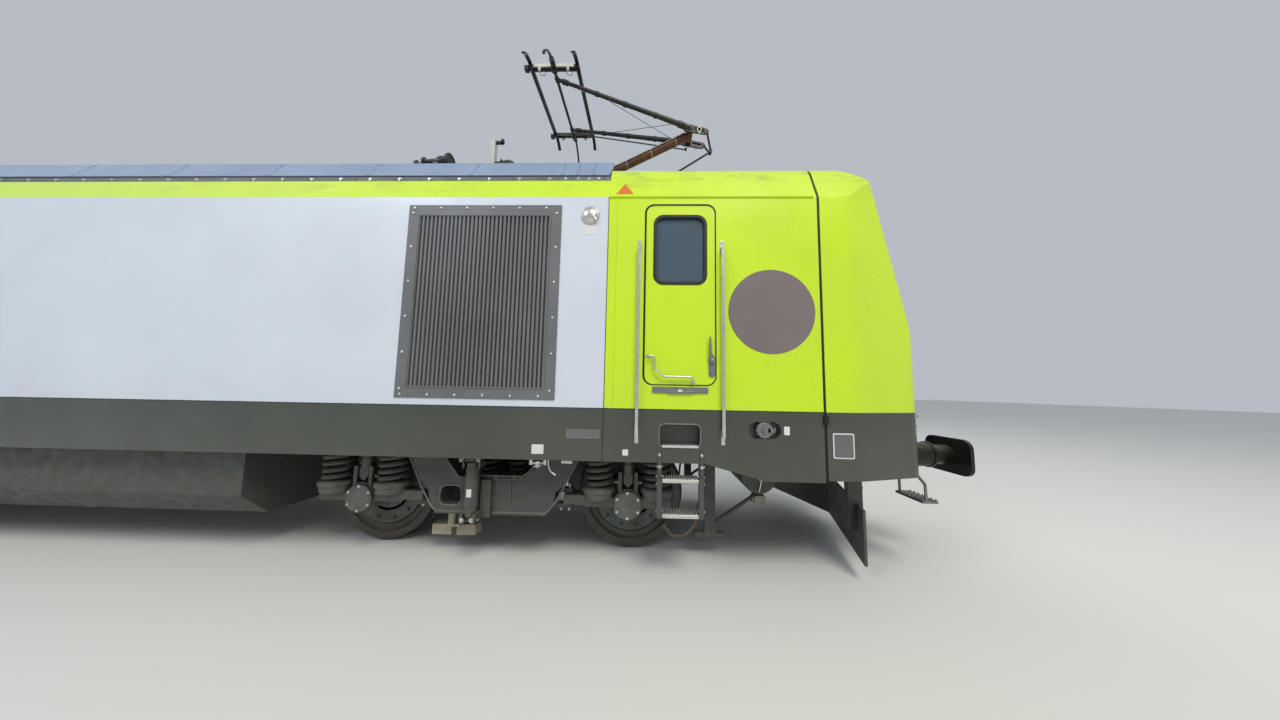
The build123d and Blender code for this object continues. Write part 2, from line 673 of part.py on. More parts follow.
# Roof equipment between the fairings: plinth, hatches, fan housings
PLINTH_X = (CAB_REAR - 1205, CAB_REAR - 15)
PLINTH_HALF = 800
PLINTH_TOP = DECK[1] + 140
HATCH_CHAMFER = 25
HATCHES = (
    # rear end, front end, half width, height above the deck
    (CAB_REAR - 3485, CAB_REAR - 1585, 1045, 110),
    (50, CAB_REAR - 3735, 1120, 150),
    (3635 - CAB_REAR, -250, 1120, 150),
    (135 - CAB_REAR, 1035 - CAB_REAR, 950, 120),
)
FANS_X = (1635 - CAB_REAR, 2885 - CAB_REAR)
FAN_BOX = (1180, 2240, 130)
FAN_R = 520
FAN_RING = 60
FAN_RISE = 60
FAN_SPOKE = 30
FAN_HUB_R = 110
with BuildPart() as roof_hatches:
    block(PLINTH_X, (-PLINTH_HALF, PLINTH_HALF), (DECK[1], PLINTH_TOP))
    for rear, front, half, height in HATCHES:
        block((rear, front), (-half, half), (DECK[1], DECK[1] + height))
    tops = roof_hatches.faces().filter_by(Axis.Z).filter_by_position(Axis.Z, DECK[1] + 50, ROOF_TOP)
    chamfer(tops.edges(), HATCH_CHAMFER)
save("roof_hatches", roof_hatches.part)

with BuildPart() as roof_fans:
    for x in FANS_X:
        with Locations((x, 0, DECK[1] + FAN_BOX[2] / 2)):
            Box(*FAN_BOX)
        for side in (-1, 1):
            with BuildSketch(Plane.XY.offset(DECK[1] + FAN_BOX[2])):
                with Locations((x, side * (FAN_R + FAN_SPOKE))):
                    Circle(FAN_R)
                    Circle(FAN_R - FAN_RING, mode=Mode.SUBTRACT)
                    Rectangle(2 * FAN_R - FAN_RING, FAN_SPOKE)
                    Rectangle(FAN_SPOKE, 2 * FAN_R - FAN_RING)
                    Circle(FAN_HUB_R)
            extrude(amount=FAN_RISE)
save("roof_fans", roof_fans.part)

# Air horns: two trumpets on a stand beside the first hatch, facing the cab, and a low aerial housing
HORNS = (
    # mouth behind the cab, distance to the right of the middle, height above the deck, length
    (1940, 980, 475, 330),
    (2105, 880, 515, 260),
)
HORN_MOUTH_R = 88
HORN_THROAT_R = 20
HORN_FLARE = 0.35
HORN_FOOT = DECK[1] + HATCHES[0][3]
STAND = 60
AERIAL = (1235, 1000, 140)
AERIAL_HEIGHT = (345, 430)
with BuildPart() as horns:
    for back, y, height, length in HORNS:
        mouth = CAB_REAR - back
        axis_z = DECK[1] + height
        with BuildSketch(Plane.XZ.offset(y)):
            with BuildLine():
                Polyline(
                    (mouth, axis_z), (mouth, axis_z + HORN_MOUTH_R),
                    (mouth - length * HORN_FLARE, axis_z + 2 * HORN_THROAT_R),
                    (mouth - length, axis_z + HORN_THROAT_R), (mouth - length, axis_z), close=True,
                )
            make_face()
        revolve(axis=Axis((0, -y, axis_z), (1, 0, 0)))
        foot = mouth - length / 2
        with Locations((foot, -y, (HORN_FOOT + axis_z) / 2)):
            Box(STAND, STAND, axis_z - HORN_FOOT)
    with Locations((CAB_REAR - AERIAL[0], -AERIAL[1], DECK[1] + middle(AERIAL_HEIGHT))):
        Cone(AERIAL[2], AERIAL[2] / 2, width(AERIAL_HEIGHT))
    with Locations((CAB_REAR - AERIAL[0], -AERIAL[1], DECK[1] + AERIAL_HEIGHT[0] / 2)):
        Box(STAND, STAND, AERIAL_HEIGHT[0])
save("horns", horns.part)

# Post on the roof's right side with two hooks towards the cab, for the earthing rod
POST_X = (CAB_REAR - 1512, CAB_REAR - 1457)
POST_Y = (-930, -870)
POST_HEIGHT = 800
HOOK_HEIGHTS = (500, 760)
HOOK_REACH = 90
HOOK_BAR = 26
with BuildPart() as rod_post:
    block(POST_X, POST_Y, (DECK[1], DECK[1] + POST_HEIGHT))
    for height in HOOK_HEIGHTS:
        z = DECK[1] + height
        bar_y = (middle(POST_Y) - HOOK_BAR / 2, middle(POST_Y) + HOOK_BAR / 2)
        block((POST_X[1], POST_X[1] + HOOK_REACH), bar_y, (z, z + HOOK_BAR))
        block((POST_X[1] + HOOK_REACH - HOOK_BAR, POST_X[1] + HOOK_REACH), bar_y, (z, z + 2 * HOOK_BAR))
save("rod_post", rod_post.part)

# Pantograph: a base frame on four insulators, one lower arm, a forked upper arm and a head
BASE = (CAB_REAR - 885, DECK[1] + 680)
LOWER_LENGTH = 2053
LOWER_ANGLE = 26.9
UPPER_LENGTH = 1918
UPPER_ANGLE = 165.63
ROD_BASE = (BASE[0] + 1070, BASE[1] - 30)
TAIL = (310, -260)


def further(start, length, angle):
    """The point at a distance from another, at an angle in the side view."""
    return (start[0] + length * cos(radians(angle)), start[1] + length * sin(radians(angle)))


KNEE = further(BASE, LOWER_LENGTH, LOWER_ANGLE)
HEAD = further(KNEE, UPPER_LENGTH, UPPER_ANGLE)
ROD_EYE = (KNEE[0] + TAIL[0], KNEE[1] + TAIL[1])
BASE_RAIL = (70, 60)
BASE_X = (BASE[0] - 170, BASE[0] + 1130)
BASE_Y = 390
BASE_Z = DECK[1] + 550
MEMBER = 80
INSULATORS_X = (BASE[0] - 80, BASE[0] + 770)
INSULATOR_R = (95, 60)
SHED_R = 88
SHED_RISE = 22
SHED_HEIGHTS = (130, 250)
FORK_Y = (230, 270)
ROD_FORK_Y = (22, 38)
HINGE_PIN_R = 18
ROD_PIN_R = 8
RUN = 1


def along(start, end):
    """A plane at the start point that faces the end point."""
    return Plane(origin=start, z_dir=tuple(b - a for a, b in zip(start, end)))


def reach(start, end):
    """Distance between two points."""
    return sum((b - a) ** 2 for a, b in zip(start, end)) ** 0.5


with BuildPart() as insulators:
    for x in INSULATORS_X:
        foot, core = INSULATOR_R
        outline = [(0, PLINTH_TOP), (foot, PLINTH_TOP), (core, PLINTH_TOP + 2 * SHED_RISE)]
        for height in SHED_HEIGHTS:
            z = PLINTH_TOP + height
            outline += [(core, z), (SHED_R, z + SHED_RISE / 2), (core, z + SHED_RISE)]
        outline += [(core, BASE_Z), (0, BASE_Z)]
        with BuildSketch(Plane.XZ.offset(-BASE_Y)):
            with BuildLine():
                Polyline(*[(x + r, z) for r, z in outline], close=True)
            make_face()
        revolve(axis=Axis((x, BASE_Y, 0), (0, 0, 1)))
    mirror(about=Plane.XZ)
save("insulators", insulators.part)

with BuildPart() as pantograph_base:
    rail_z = (BASE_Z, BASE_Z + BASE_RAIL[1])
    for y in (-BASE_Y, BASE_Y):
        block(BASE_X, (y - BASE_RAIL[0] / 2, y + BASE_RAIL[0] / 2), rail_z)
    for x in (BASE[0], INSULATORS_X[1], ROD_BASE[0]):
        block((x - MEMBER / 2, x + MEMBER / 2), (-BASE_Y, BASE_Y), rail_z)
    for side in (-1, 1):
        for (low, high), centre, half, pin_r in (
            (FORK_Y, BASE, 55, HINGE_PIN_R),
            (ROD_FORK_Y, ROD_BASE, 30, ROD_PIN_R),
        ):
            with BuildSketch(Plane.XZ.offset(-side * low)):
                with BuildLine():
                    Polyline(
                        (centre[0] - half, middle(rail_z)), (centre[0] + half, middle(rail_z)),
                        (centre[0] + half * 0.7, centre[1] + half * 0.75),
                        (centre[0] - half * 0.7, centre[1] + half * 0.75), close=True,
                    )
                make_face()
                with Locations(centre):
                    Circle(pin_r, mode=Mode.SUBTRACT)
            extrude(amount=-side * (high - low))
save("pantograph_base", pantograph_base.part)

ARM_R = 58
AXLE_TUBE = (45, 222)
KNEE_TUBE = (48, 90)
with BuildPart() as lower_arm:
    with BuildSketch(along((BASE[0], 0, BASE[1]), (KNEE[0], 0, KNEE[1]))):
        Circle(ARM_R)
    extrude(amount=LOWER_LENGTH)
    for centre, (radius, half) in ((BASE, AXLE_TUBE), (KNEE, KNEE_TUBE)):
        with BuildSketch(Plane.XZ):
            with Locations(centre):
                Circle(radius)
        extrude(amount=half, both=True)
    with BuildSketch(Plane.XZ):
        with Locations(BASE):
            Circle(HINGE_PIN_R - RUN)
    extrude(amount=FORK_Y[1] + 12, both=True)
    with BuildSketch(Plane.XZ):
        with Locations(KNEE):
            Circle(HINGE_PIN_R + RUN)
    extrude(amount=2 * KNEE_TUBE[1], both=True, mode=Mode.SUBTRACT)
save("lower_arm", lower_arm.part)

# Upper arm: two tapering legs joined past the knee by open cheeks; two bars hold the steering rod's eye
CHEEK_Y = (124, 148)
LEG_R = (38, 24)
LEG_HEAD_Y = 430
HEAD_TUBE_R = 20
HEAD_TUBE_HALF = 640
CHEEK = ((-95, -30), (-70, 62), (240, -15), (268, -60), (215, -100), (-20, -58))
CHEEK_HOLE = ((62, 2), (200, -32), (200, -66), (62, -34))
CHEEK_END = (238, -55)
EYE_BAR_R = 15
EYE_R = 26
with BuildPart() as upper_arm:
    for side in (-1, 1):
        foot = (KNEE[0], side * middle(CHEEK_Y), KNEE[1])
        top = (HEAD[0], side * LEG_HEAD_Y, HEAD[1])
        with BuildSketch(along(foot, top)):
            Circle(LEG_R[0])
        with BuildSketch(along(foot, top).offset(reach(foot, top))):
            Circle(LEG_R[1])
        loft()
        with BuildSketch(Plane.XZ.offset(-side * CHEEK_Y[0])):
            with BuildLine():
                Polyline(*[(KNEE[0] + x, KNEE[1] + z) for x, z in CHEEK], close=True)
            make_face()
            with BuildLine():
                Polyline(*[(KNEE[0] + x, KNEE[1] + z) for x, z in CHEEK_HOLE], close=True)
            make_face(mode=Mode.SUBTRACT)
        extrude(amount=-side * width(CHEEK_Y))
        corner = (KNEE[0] + CHEEK_END[0], side * middle(CHEEK_Y), KNEE[1] + CHEEK_END[1])
        eye = (ROD_EYE[0], side * middle(ROD_FORK_Y), ROD_EYE[1])
        with BuildSketch(along(corner, eye)):
            Circle(EYE_BAR_R)
        extrude(amount=reach(corner, eye))
        with BuildSketch(Plane.XZ.offset(-side * ROD_FORK_Y[0])):
            with Locations(ROD_EYE):
                Circle(EYE_R)
        extrude(amount=-side * width(ROD_FORK_Y))
    for centre, radius, half in ((KNEE, HINGE_PIN_R, CHEEK_Y[1]), (HEAD, HEAD_TUBE_R, HEAD_TUBE_HALF)):
        with BuildSketch(Plane.XZ):
            with Locations(centre):
                Circle(radius)
        extrude(amount=half, both=True)
save("upper_arm", upper_arm.part)

# Pantograph head: two contact strips with end horns, on a spring link at each side with a long horn
STRIP_X = 312
STRIP = (46, 36)
STRIP_HALF = 600
STRIP_TOP = HEAD[1] + 62
LINK_Y = (545, 595)
LINK_Z = (HEAD[1] - 10, HEAD[1] + 50)
LINK_EYE_R = 42
HORN_R = 330
HORN_THICK = 22
HORN_SWEEP = 46
LONG_HORN_R = 420
LONG_HORN_SWEEP = 70
LONG_HORN_W = 26


def horn_faces(x, start, top, radius, sweep):
    """The two down-curved horns at one station, one each side, seen from ahead."""
    with BuildSketch(Plane.YZ.offset(x)) as faces:
        with BuildLine():
            outer = CenterArc((start, top - radius), radius, 90, -sweep)
            inner = CenterArc((start, top - radius), radius - HORN_THICK, 90, -sweep)
            Line(outer @ 0, inner @ 0)
            Line(outer @ 1, inner @ 1)
        make_face()
        mirror(about=Plane.YZ)
    return faces.sketch


with BuildPart() as pantograph_head:
    for x in (HEAD[0] - STRIP_X, HEAD[0] + STRIP_X):
        with Locations((x, 0, STRIP_TOP - STRIP[1] / 2)):
            Box(STRIP[0], 2 * STRIP_HALF, STRIP[1])
        extrude(horn_faces(x - STRIP[0] / 2, STRIP_HALF, STRIP_TOP, HORN_R, HORN_SWEEP), amount=STRIP[0])
    extrude(
        horn_faces(HEAD[0] - LONG_HORN_W / 2, LINK_Y[1], LINK_Z[1], LONG_HORN_R, LONG_HORN_SWEEP),
        amount=LONG_HORN_W,
    )
    for side in (-1, 1):
        with BuildSketch(Plane.XZ.offset(-side * LINK_Y[0])):
            with Locations((HEAD[0], middle(LINK_Z))):
                Rectangle(2 * STRIP_X, width(LINK_Z))
            with Locations(HEAD):
                Circle(LINK_EYE_R)
                Circle(HEAD_TUBE_R + RUN, mode=Mode.SUBTRACT)
        extrude(amount=-side * width(LINK_Y))
save("pantograph_head", pantograph_head.part)

ROD_R = 14
ROD_LENGTH = hypot(ROD_EYE[0] - ROD_BASE[0], ROD_EYE[1] - ROD_BASE[1])
with BuildPart() as steering_rod:
    with BuildSketch(along((ROD_BASE[0], 0, ROD_BASE[1]), (ROD_EYE[0], 0, ROD_EYE[1]))):
        Circle(ROD_R)
    extrude(amount=ROD_LENGTH)
    for centre in (ROD_BASE, ROD_EYE):
        with BuildSketch(Plane.XZ):
            with Locations(centre):
                Circle(EYE_R)
        extrude(amount=ROD_R, both=True)
    with BuildSketch(Plane.XZ):
        with Locations(ROD_BASE):
            Circle(ROD_PIN_R - RUN)
    extrude(amount=ROD_FORK_Y[1] + 4, both=True)
save("steering_rod", steering_rod.part)

# Wheelsets: an axle with both wheels and their brake discs, turned in one piece
AXLE_R = 85
JOURNAL_R = 65
JOURNAL_END = 1140
WHEEL_BACK = 680
WHEEL_FRONT = 815
FLANGE_ROOT = 32
RIM = 80
WEB_Y = 775
DISC_Y = 800
DISC_R = 390
with BuildPart() as wheelset:
    with BuildSketch(Plane.YZ):
        with BuildLine():
            Polyline(
                (0, 0), (0, AXLE_R), (WHEEL_BACK, AXLE_R), (WHEEL_BACK, WHEEL_R + FLANGE),
                (WHEEL_BACK + FLANGE_ROOT, WHEEL_R + 2), (WHEEL_FRONT, WHEEL_R - 3),
                (WHEEL_FRONT, WHEEL_R - RIM), (WEB_Y, WHEEL_R - RIM), (WEB_Y, DISC_R), (DISC_Y, DISC_R),
                (DISC_Y, JOURNAL_R), (JOURNAL_END, JOURNAL_R), (JOURNAL_END, 0), close=True,
            )
        make_face()
    revolve(axis=Axis.Y)
    mirror(about=Plane.XZ)
AXLES = (
    ("wheelset_1", PIVOT_X + HALF_WHEELBASE),
    ("wheelset_2", PIVOT_X - HALF_WHEELBASE),
    ("wheelset_3", HALF_WHEELBASE - PIVOT_X),
    ("wheelset_4", -PIVOT_X - HALF_WHEELBASE),
)
for name, x in AXLES:
    save(name, wheelset.part.moved(Location((x, 0, AXLE_Z))))


def save_bogie_piece(name, part):
    """Writes one bogie piece, modelled about the pivot, at both bogies."""
    save(f"{name}_a", part.moved(Location((PIVOT_X, 0, 0))))
    save(f"{name}_b", mirror(part.moved(Location((PIVOT_X, 0, 0))), about=Plane.YZ))


# Bogie frame, drawn about its pivot: two cranked side beams, a transom and end beams
BEAM_Y = (1020, 1200)
BEAM_END = HALF_WHEELBASE + 520
BEAM_Z = (480, 820)
BEAM_OVER = (1030, 1150)
BEAM_SIDE = (
    # x from the pivot and z, from the middle of the lower edge round to the top
    (0, BEAM_Z[0]), (HALF_WHEELBASE - 795, BEAM_Z[0]), (HALF_WHEELBASE - 735, 560),
    (HALF_WHEELBASE - 710, 690), (HALF_WHEELBASE - 620, 776), (HALF_WHEELBASE - 531, 958),
    (HALF_WHEELBASE - 480, BEAM_OVER[0]), (BEAM_END, BEAM_OVER[0]), (BEAM_END, BEAM_OVER[1]),
    (HALF_WHEELBASE - 790, BEAM_OVER[1]), (HALF_WHEELBASE - 892, 968), (HALF_WHEELBASE - 1015, BEAM_Z[1]),
    (0, BEAM_Z[1]),
)
BEAM_FILLET = 60
BEAM_SWEEP = 90
WINDOW_X = (-520, -290)
WINDOW_Z = (540, 740)
WINDOW_R = 70
COLUMN_X = (-90, 13)
COLUMN_Y = (BEAM_Y[1], BEAM_Y[1] + 40)
COLUMN_Z = (450, 805)
TRANSOM_X = 400
TRANSOM_Z = (560, 810)
PIN_CLEAR = 12
END_BEAM = 80
ARM_PIN = (HALF_WHEELBASE - 615, AXLE_Z + 35)
ARM_HALF = 45
LUG_X = (HALF_WHEELBASE - 712, HALF_WHEELBASE - 560)
LUG_Y = (1040, 1125)
LUG_OFF = (ARM_HALF + 8, ARM_HALF + 52)
GUARD_X = (HALF_WHEELBASE + 785, HALF_WHEELBASE + 895)
GUARD_Y = (915, 985)
GUARD_BAR_X = (HALF_WHEELBASE + 687, HALF_WHEELBASE + 987)
GUARD_BAR_Z = (215, 265)
with BuildPart() as bogie_frame:
    with BuildSketch(Plane.XZ.offset(-BEAM_Y[0])) as beam:
        with BuildLine():
            Polyline(*BEAM_SIDE, close=True)
        make_face()
        fillet(at_x(beam.vertices(), BEAM_SIDE[1][0]), BEAM_FILLET)
        for corner in (10, 11):
            fillet(at_x(beam.vertices(), BEAM_SIDE[corner][0]), BEAM_SWEEP)
        mirror(about=Plane.YZ)
        with Locations((middle(WINDOW_X), middle(WINDOW_Z))):
            RectangleRounded(width(WINDOW_X), width(WINDOW_Z), WINDOW_R, mode=Mode.SUBTRACT)
    extrude(amount=-width(BEAM_Y))
    block(COLUMN_X, COLUMN_Y, COLUMN_Z)
    for side in (-1, 1):
        lug_x = LUG_X if side > 0 else (-LUG_X[1], -LUG_X[0])
        for low, high in ((-LUG_OFF[1], -LUG_OFF[0]), LUG_OFF):
            block(lug_x, LUG_Y, (ARM_PIN[1] + low, ARM_PIN[1] + high))
    block(GUARD_X, GUARD_Y, (GUARD_BAR_Z[0], BEAM_OVER[1]))
    block(GUARD_BAR_X, GUARD_Y, GUARD_BAR_Z)
    block((BEAM_END - END_BEAM, GUARD_X[0]), GUARD_Y, BEAM_OVER)
    mirror(about=Plane.XZ)
    block((-TRANSOM_X, TRANSOM_X), (-BEAM_Y[0], BEAM_Y[0]), TRANSOM_Z)
    Cylinder(PIN_R + PIN_CLEAR, 2 * ROOF_TOP, mode=Mode.SUBTRACT)
    for end in (-BEAM_END, BEAM_END - END_BEAM):
        block((end, end + END_BEAM), (-BEAM_Y[0], BEAM_Y[0]), BEAM_OVER)
save_bogie_piece("bogie_frame", bogie_frame.part)

# Axle boxes with their spring seats, damper lugs and the arm back to the frame
BOX_R = 150
SPRING_Y = 1110
SPRING_X = 290
SPRING_R = 146
SEAT_R = 152
SEAT_Z = (AXLE_Z + 60, AXLE_Z + 165)
BOX_Y = (1000, 1165)
COVER_R = 130
COVER_END = 1190
WING = (430, AXLE_Z - 30, AXLE_Z + 60)
BORE_R = JOURNAL_R + RUN
DAMPER_EYE_Z = AXLE_Z + 200
DAMPER_EYE_R = 32
DAMPER_LUG_X = (60, 98)
DAMPER_LUG_TOP = AXLE_Z + 310
with BuildPart() as axle_boxes:
    with BuildSketch(Plane.XZ.offset(-BOX_Y[0])):
        with Locations((HALF_WHEELBASE, AXLE_Z)):
            Circle(BOX_R)
        with Locations((HALF_WHEELBASE, middle(WING[1:]))):
            Rectangle(2 * WING[0], width(WING[1:]))
        with Locations(((ARM_PIN[0] + HALF_WHEELBASE - WING[0]) / 2, ARM_PIN[1])):
            Rectangle(HALF_WHEELBASE - WING[0] - ARM_PIN[0] + ARM_HALF, 2 * ARM_HALF)
        for side in (-1, 1):
            with Locations((HALF_WHEELBASE + side * middle(DAMPER_LUG_X), (AXLE_Z + DAMPER_LUG_TOP) / 2)):
                Rectangle(width(DAMPER_LUG_X), DAMPER_LUG_TOP - AXLE_Z)
    extrude(amount=-width(BOX_Y))
    with BuildSketch(Plane.XZ.offset(-BOX_Y[1])):
        with Locations((HALF_WHEELBASE, AXLE_Z)):
            Circle(COVER_R)
    extrude(amount=BOX_Y[1] - COVER_END)
    with BuildSketch(Plane.XZ.offset(-BOX_Y[0])):
        with Locations((HALF_WHEELBASE, AXLE_Z)):
            Circle(BORE_R)
    extrude(amount=BOX_Y[0] - JOURNAL_END - 5, mode=Mode.SUBTRACT)
    with BuildSketch(Plane.XY.offset(SEAT_Z[0])):
        with Locations((HALF_WHEELBASE - SPRING_X, SPRING_Y), (HALF_WHEELBASE + SPRING_X, SPRING_Y)):
            Circle(SEAT_R)
    extrude(amount=width(SEAT_Z))
    mirror(about=Plane.XZ)
    mirror(about=Plane.YZ)
save_bogie_piece("axle_boxes", axle_boxes.part)

# Coil springs, as their outer form: over the axle boxes and between transom and underframe
SECONDARY_R = 125
SECONDARY_X = 165
SECONDARY_Y = 890
SECONDARY_GAP = 6
with BuildPart() as springs:
    with BuildSketch(Plane.XY.offset(SEAT_Z[1])):
        with Locations((HALF_WHEELBASE - SPRING_X, SPRING_Y), (HALF_WHEELBASE + SPRING_X, SPRING_Y)):
            Circle(SPRING_R)
    extrude(amount=BEAM_OVER[0] - SEAT_Z[1])
    with BuildSketch(Plane.XY.offset(TRANSOM_Z[1])):
        with Locations((SECONDARY_X, SECONDARY_Y)):
            Circle(SECONDARY_R)
    extrude(amount=FLOOR[0] - SECONDARY_GAP - TRANSOM_Z[1])
    mirror(about=Plane.XZ)
    mirror(about=Plane.YZ)
save_bogie_piece("springs", springs.part)

# Dampers: one upright over each axle box, and a long one between frame and body on each side
DAMPER_R = 50
DAMPER_FOOT = DAMPER_EYE_Z + 45
EYE_HALF_Y = 45
LONG_DAMPER_AT = (-154, 1275)
LONG_DAMPER_R = 58
LONG_DAMPER_Z = (BEAM_Z[0], 985)
LONG_FOOT = (100, 50)
with BuildPart() as dampers:
    for side in (-1, 1):
        with BuildSketch(Plane.XY.offset(DAMPER_FOOT)):
            with Locations((side * HALF_WHEELBASE, SPRING_Y)):
                Circle(DAMPER_R)
        extrude(amount=BEAM_OVER[0] - DAMPER_FOOT)
        with BuildSketch(Plane.XZ.offset(EYE_HALF_Y - SPRING_Y)):
            with Locations((side * HALF_WHEELBASE, DAMPER_EYE_Z)):
                Circle(DAMPER_EYE_R)
                Rectangle(2 * EYE_HALF_Y, 2 * EYE_HALF_Y + 2, align=(Align.CENTER, Align.MIN))
        extrude(amount=-2 * EYE_HALF_Y)
    with BuildSketch(Plane.XY.offset(LONG_DAMPER_Z[0])):
        with Locations(LONG_DAMPER_AT):
            Circle(LONG_DAMPER_R)
    extrude(amount=width(LONG_DAMPER_Z))
    block(
        (LONG_DAMPER_AT[0] - LONG_FOOT[0] / 2, LONG_DAMPER_AT[0] + LONG_FOOT[0] / 2),
        (middle(BEAM_Y), LONG_DAMPER_AT[1] + LONG_DAMPER_R / 2), (BEAM_Z[0] - LONG_FOOT[1], BEAM_Z[0]),
    )
    mirror(about=Plane.XZ)
save_bogie_piece("dampers", dampers.part)

# Traction motors with their gear cases round the axles, on brackets from the transom
MOTOR_R = 250
MOTOR_AT = (HALF_WHEELBASE - 530, AXLE_Z + 20)
MOTOR_Y = (-420, 440)
GEAR_Y = (446, 610)
GEAR_R = 330
PINION_R = 170
AXLE_CLEAR = 8
NOSE_BRACKET = (500, 120)
with BuildPart() as motors:
    with BuildSketch(Plane.XZ.offset(-MOTOR_Y[0])):
        with Locations(MOTOR_AT):
            Circle(MOTOR_R)
    extrude(amount=-width(MOTOR_Y))
    with BuildSketch(Plane.XZ.offset(-MOTOR_Y[1])):
        with Locations((HALF_WHEELBASE, AXLE_Z)):
            Circle(GEAR_R)
        with Locations(MOTOR_AT):
            Circle(PINION_R)
        make_hull()
        with Locations((HALF_WHEELBASE, AXLE_Z)):
            Circle(AXLE_R + AXLE_CLEAR, mode=Mode.SUBTRACT)
    extrude(amount=MOTOR_Y[1] - GEAR_Y[1])
    bracket_z = AXLE_Z + 110
    block(
        (TRANSOM_X, MOTOR_AT[0] - 100), (-NOSE_BRACKET[0] / 2, NOSE_BRACKET[0] / 2),
        (bracket_z - NOSE_BRACKET[1] / 2, bracket_z + NOSE_BRACKET[1] / 2),
    )
    mirror(about=Plane.YZ)
save_bogie_piece("motors", motors.part)

# Track magnets of the train control, low beside the rail on a bracket from the frame
MAGNETS_X = ((-700, -495), (-440, -240))
MAGNET_Y = (880, 1000)
MAGNET_Z = (175, 280)
CARRIER_X = (-560, -380)
CARRIER_Z = 25
STALK = (60, 40)
with BuildPart() as magnets:
    for span in MAGNETS_X:
        block(span, MAGNET_Y, MAGNET_Z)
    block(CARRIER_X, (MAGNET_Y[0], BEAM_Y[0] + STALK[1]), (MAGNET_Z[1], MAGNET_Z[1] + CARRIER_Z))
    block(
        (middle(CARRIER_X) - STALK[0] / 2, middle(CARRIER_X) + STALK[0] / 2),
        (BEAM_Y[0], BEAM_Y[0] + STALK[1]), (MAGNET_Z[1], BEAM_Z[0]),
    )
    mirror(about=Plane.XZ)
save_bogie_piece("magnets", magnets.part)
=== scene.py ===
import json
import math

import bmesh
import bpy
from mathutils import Matrix, Vector


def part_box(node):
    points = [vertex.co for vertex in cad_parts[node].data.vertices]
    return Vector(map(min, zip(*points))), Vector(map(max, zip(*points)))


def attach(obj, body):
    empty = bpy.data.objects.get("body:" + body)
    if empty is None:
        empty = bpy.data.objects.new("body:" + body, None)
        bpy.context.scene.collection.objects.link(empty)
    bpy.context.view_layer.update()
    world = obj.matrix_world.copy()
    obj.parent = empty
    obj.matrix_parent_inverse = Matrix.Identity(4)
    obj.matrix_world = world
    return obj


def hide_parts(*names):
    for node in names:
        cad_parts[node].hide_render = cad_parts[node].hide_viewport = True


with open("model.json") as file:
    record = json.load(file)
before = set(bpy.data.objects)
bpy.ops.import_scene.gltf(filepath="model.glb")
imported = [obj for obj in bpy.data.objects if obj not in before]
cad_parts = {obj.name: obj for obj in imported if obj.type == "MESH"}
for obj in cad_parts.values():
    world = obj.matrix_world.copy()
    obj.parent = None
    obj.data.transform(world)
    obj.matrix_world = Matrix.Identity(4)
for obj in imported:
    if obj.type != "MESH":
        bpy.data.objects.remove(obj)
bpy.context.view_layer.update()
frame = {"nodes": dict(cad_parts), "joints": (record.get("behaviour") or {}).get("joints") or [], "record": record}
BOXES = {name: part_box(name) for name in frame["nodes"]}
JOINTS = {joint["name"]: joint for joint in frame["joints"]}

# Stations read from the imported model, in metres
CAB_FRONT = BOXES["cab_shell_a"][1].x
CAB_REAR = BOXES["cab_shell_a"][0].x
SIDE = BOXES["cab_shell_a"][1].y
SILL_TOP = BOXES["cab_shell_a"][0].z
AXLE_Z = JOINTS["wheelset_1_roll"]["pos_m"][2]
OUTER_AXLE = JOINTS["wheelset_1_roll"]["pos_m"][0]
INNER_AXLE = JOINTS["wheelset_2_roll"]["pos_m"][0]
PIVOT = JOINTS["bogie_a_yaw"]["pos_m"][0]


def linear(colour):
    """An sRGB hex colour as linear red, green, blue and alpha."""
    parts = [int(colour[i:i + 2], 16) / 255 for i in (1, 3, 5)]
    return [c / 12.92 if c <= 0.04045 else ((c + 0.055) / 1.055) ** 2.4 for c in parts] + [1.0]


def node(tree, kind, sockets=None, **settings):
    """Adds a node, sets its properties, then sets each socket or links it to another node's output."""
    made = tree.nodes.new(kind)
    for key, value in settings.items():
        setattr(made, key, value)
    for key, value in (sockets or {}).items():
        if isinstance(value, bpy.types.NodeSocket):
            tree.links.new(value, made.inputs[key])
        else:
            made.inputs[key].default_value = value
    return made


def start_material(name):
    """A new material with its shader and output, ready for its own nodes."""
    material = bpy.data.materials.new(name)
    material.use_nodes = True
    tree = material.node_tree
    tree.nodes.clear()
    shader = node(tree, "ShaderNodeBsdfPrincipled")
    output = node(tree, "ShaderNodeOutputMaterial")
    tree.links.new(shader.outputs["BSDF"], output.inputs["Surface"])
    place = node(tree, "ShaderNodeTexCoord").outputs["Object"]
    return material, tree, shader, place


def millimetres(size):
    """The scale of a pattern whose repeat is this many millimetres."""
    return 1000 / size


def noise(tree, place, size, stretch=(1, 1, 1), detail=4.0, roughness=0.55):
    """Noise whose blotches are about the given millimetres across, drawn out by the stretch."""
    moved = node(tree, "ShaderNodeMapping", {"Vector": place, "Scale": [1 / s for s in stretch]})
    return node(
        tree, "ShaderNodeTexNoise",
        {"Vector": moved.outputs["Vector"], "Scale": millimetres(size), "Detail": detail,
         "Roughness": roughness},
    ).outputs["Fac"]


def ramp(tree, value, low, high, to_low=0.0, to_high=1.0):
    """Carries a value from one range to another and holds it at the ends."""
    return node(
        tree, "ShaderNodeMapRange",
        {"Value": value, "From Min": low, "From Max": high, "To Min": to_low, "To Max": to_high},
        clamp=True,
    ).outputs["Result"]


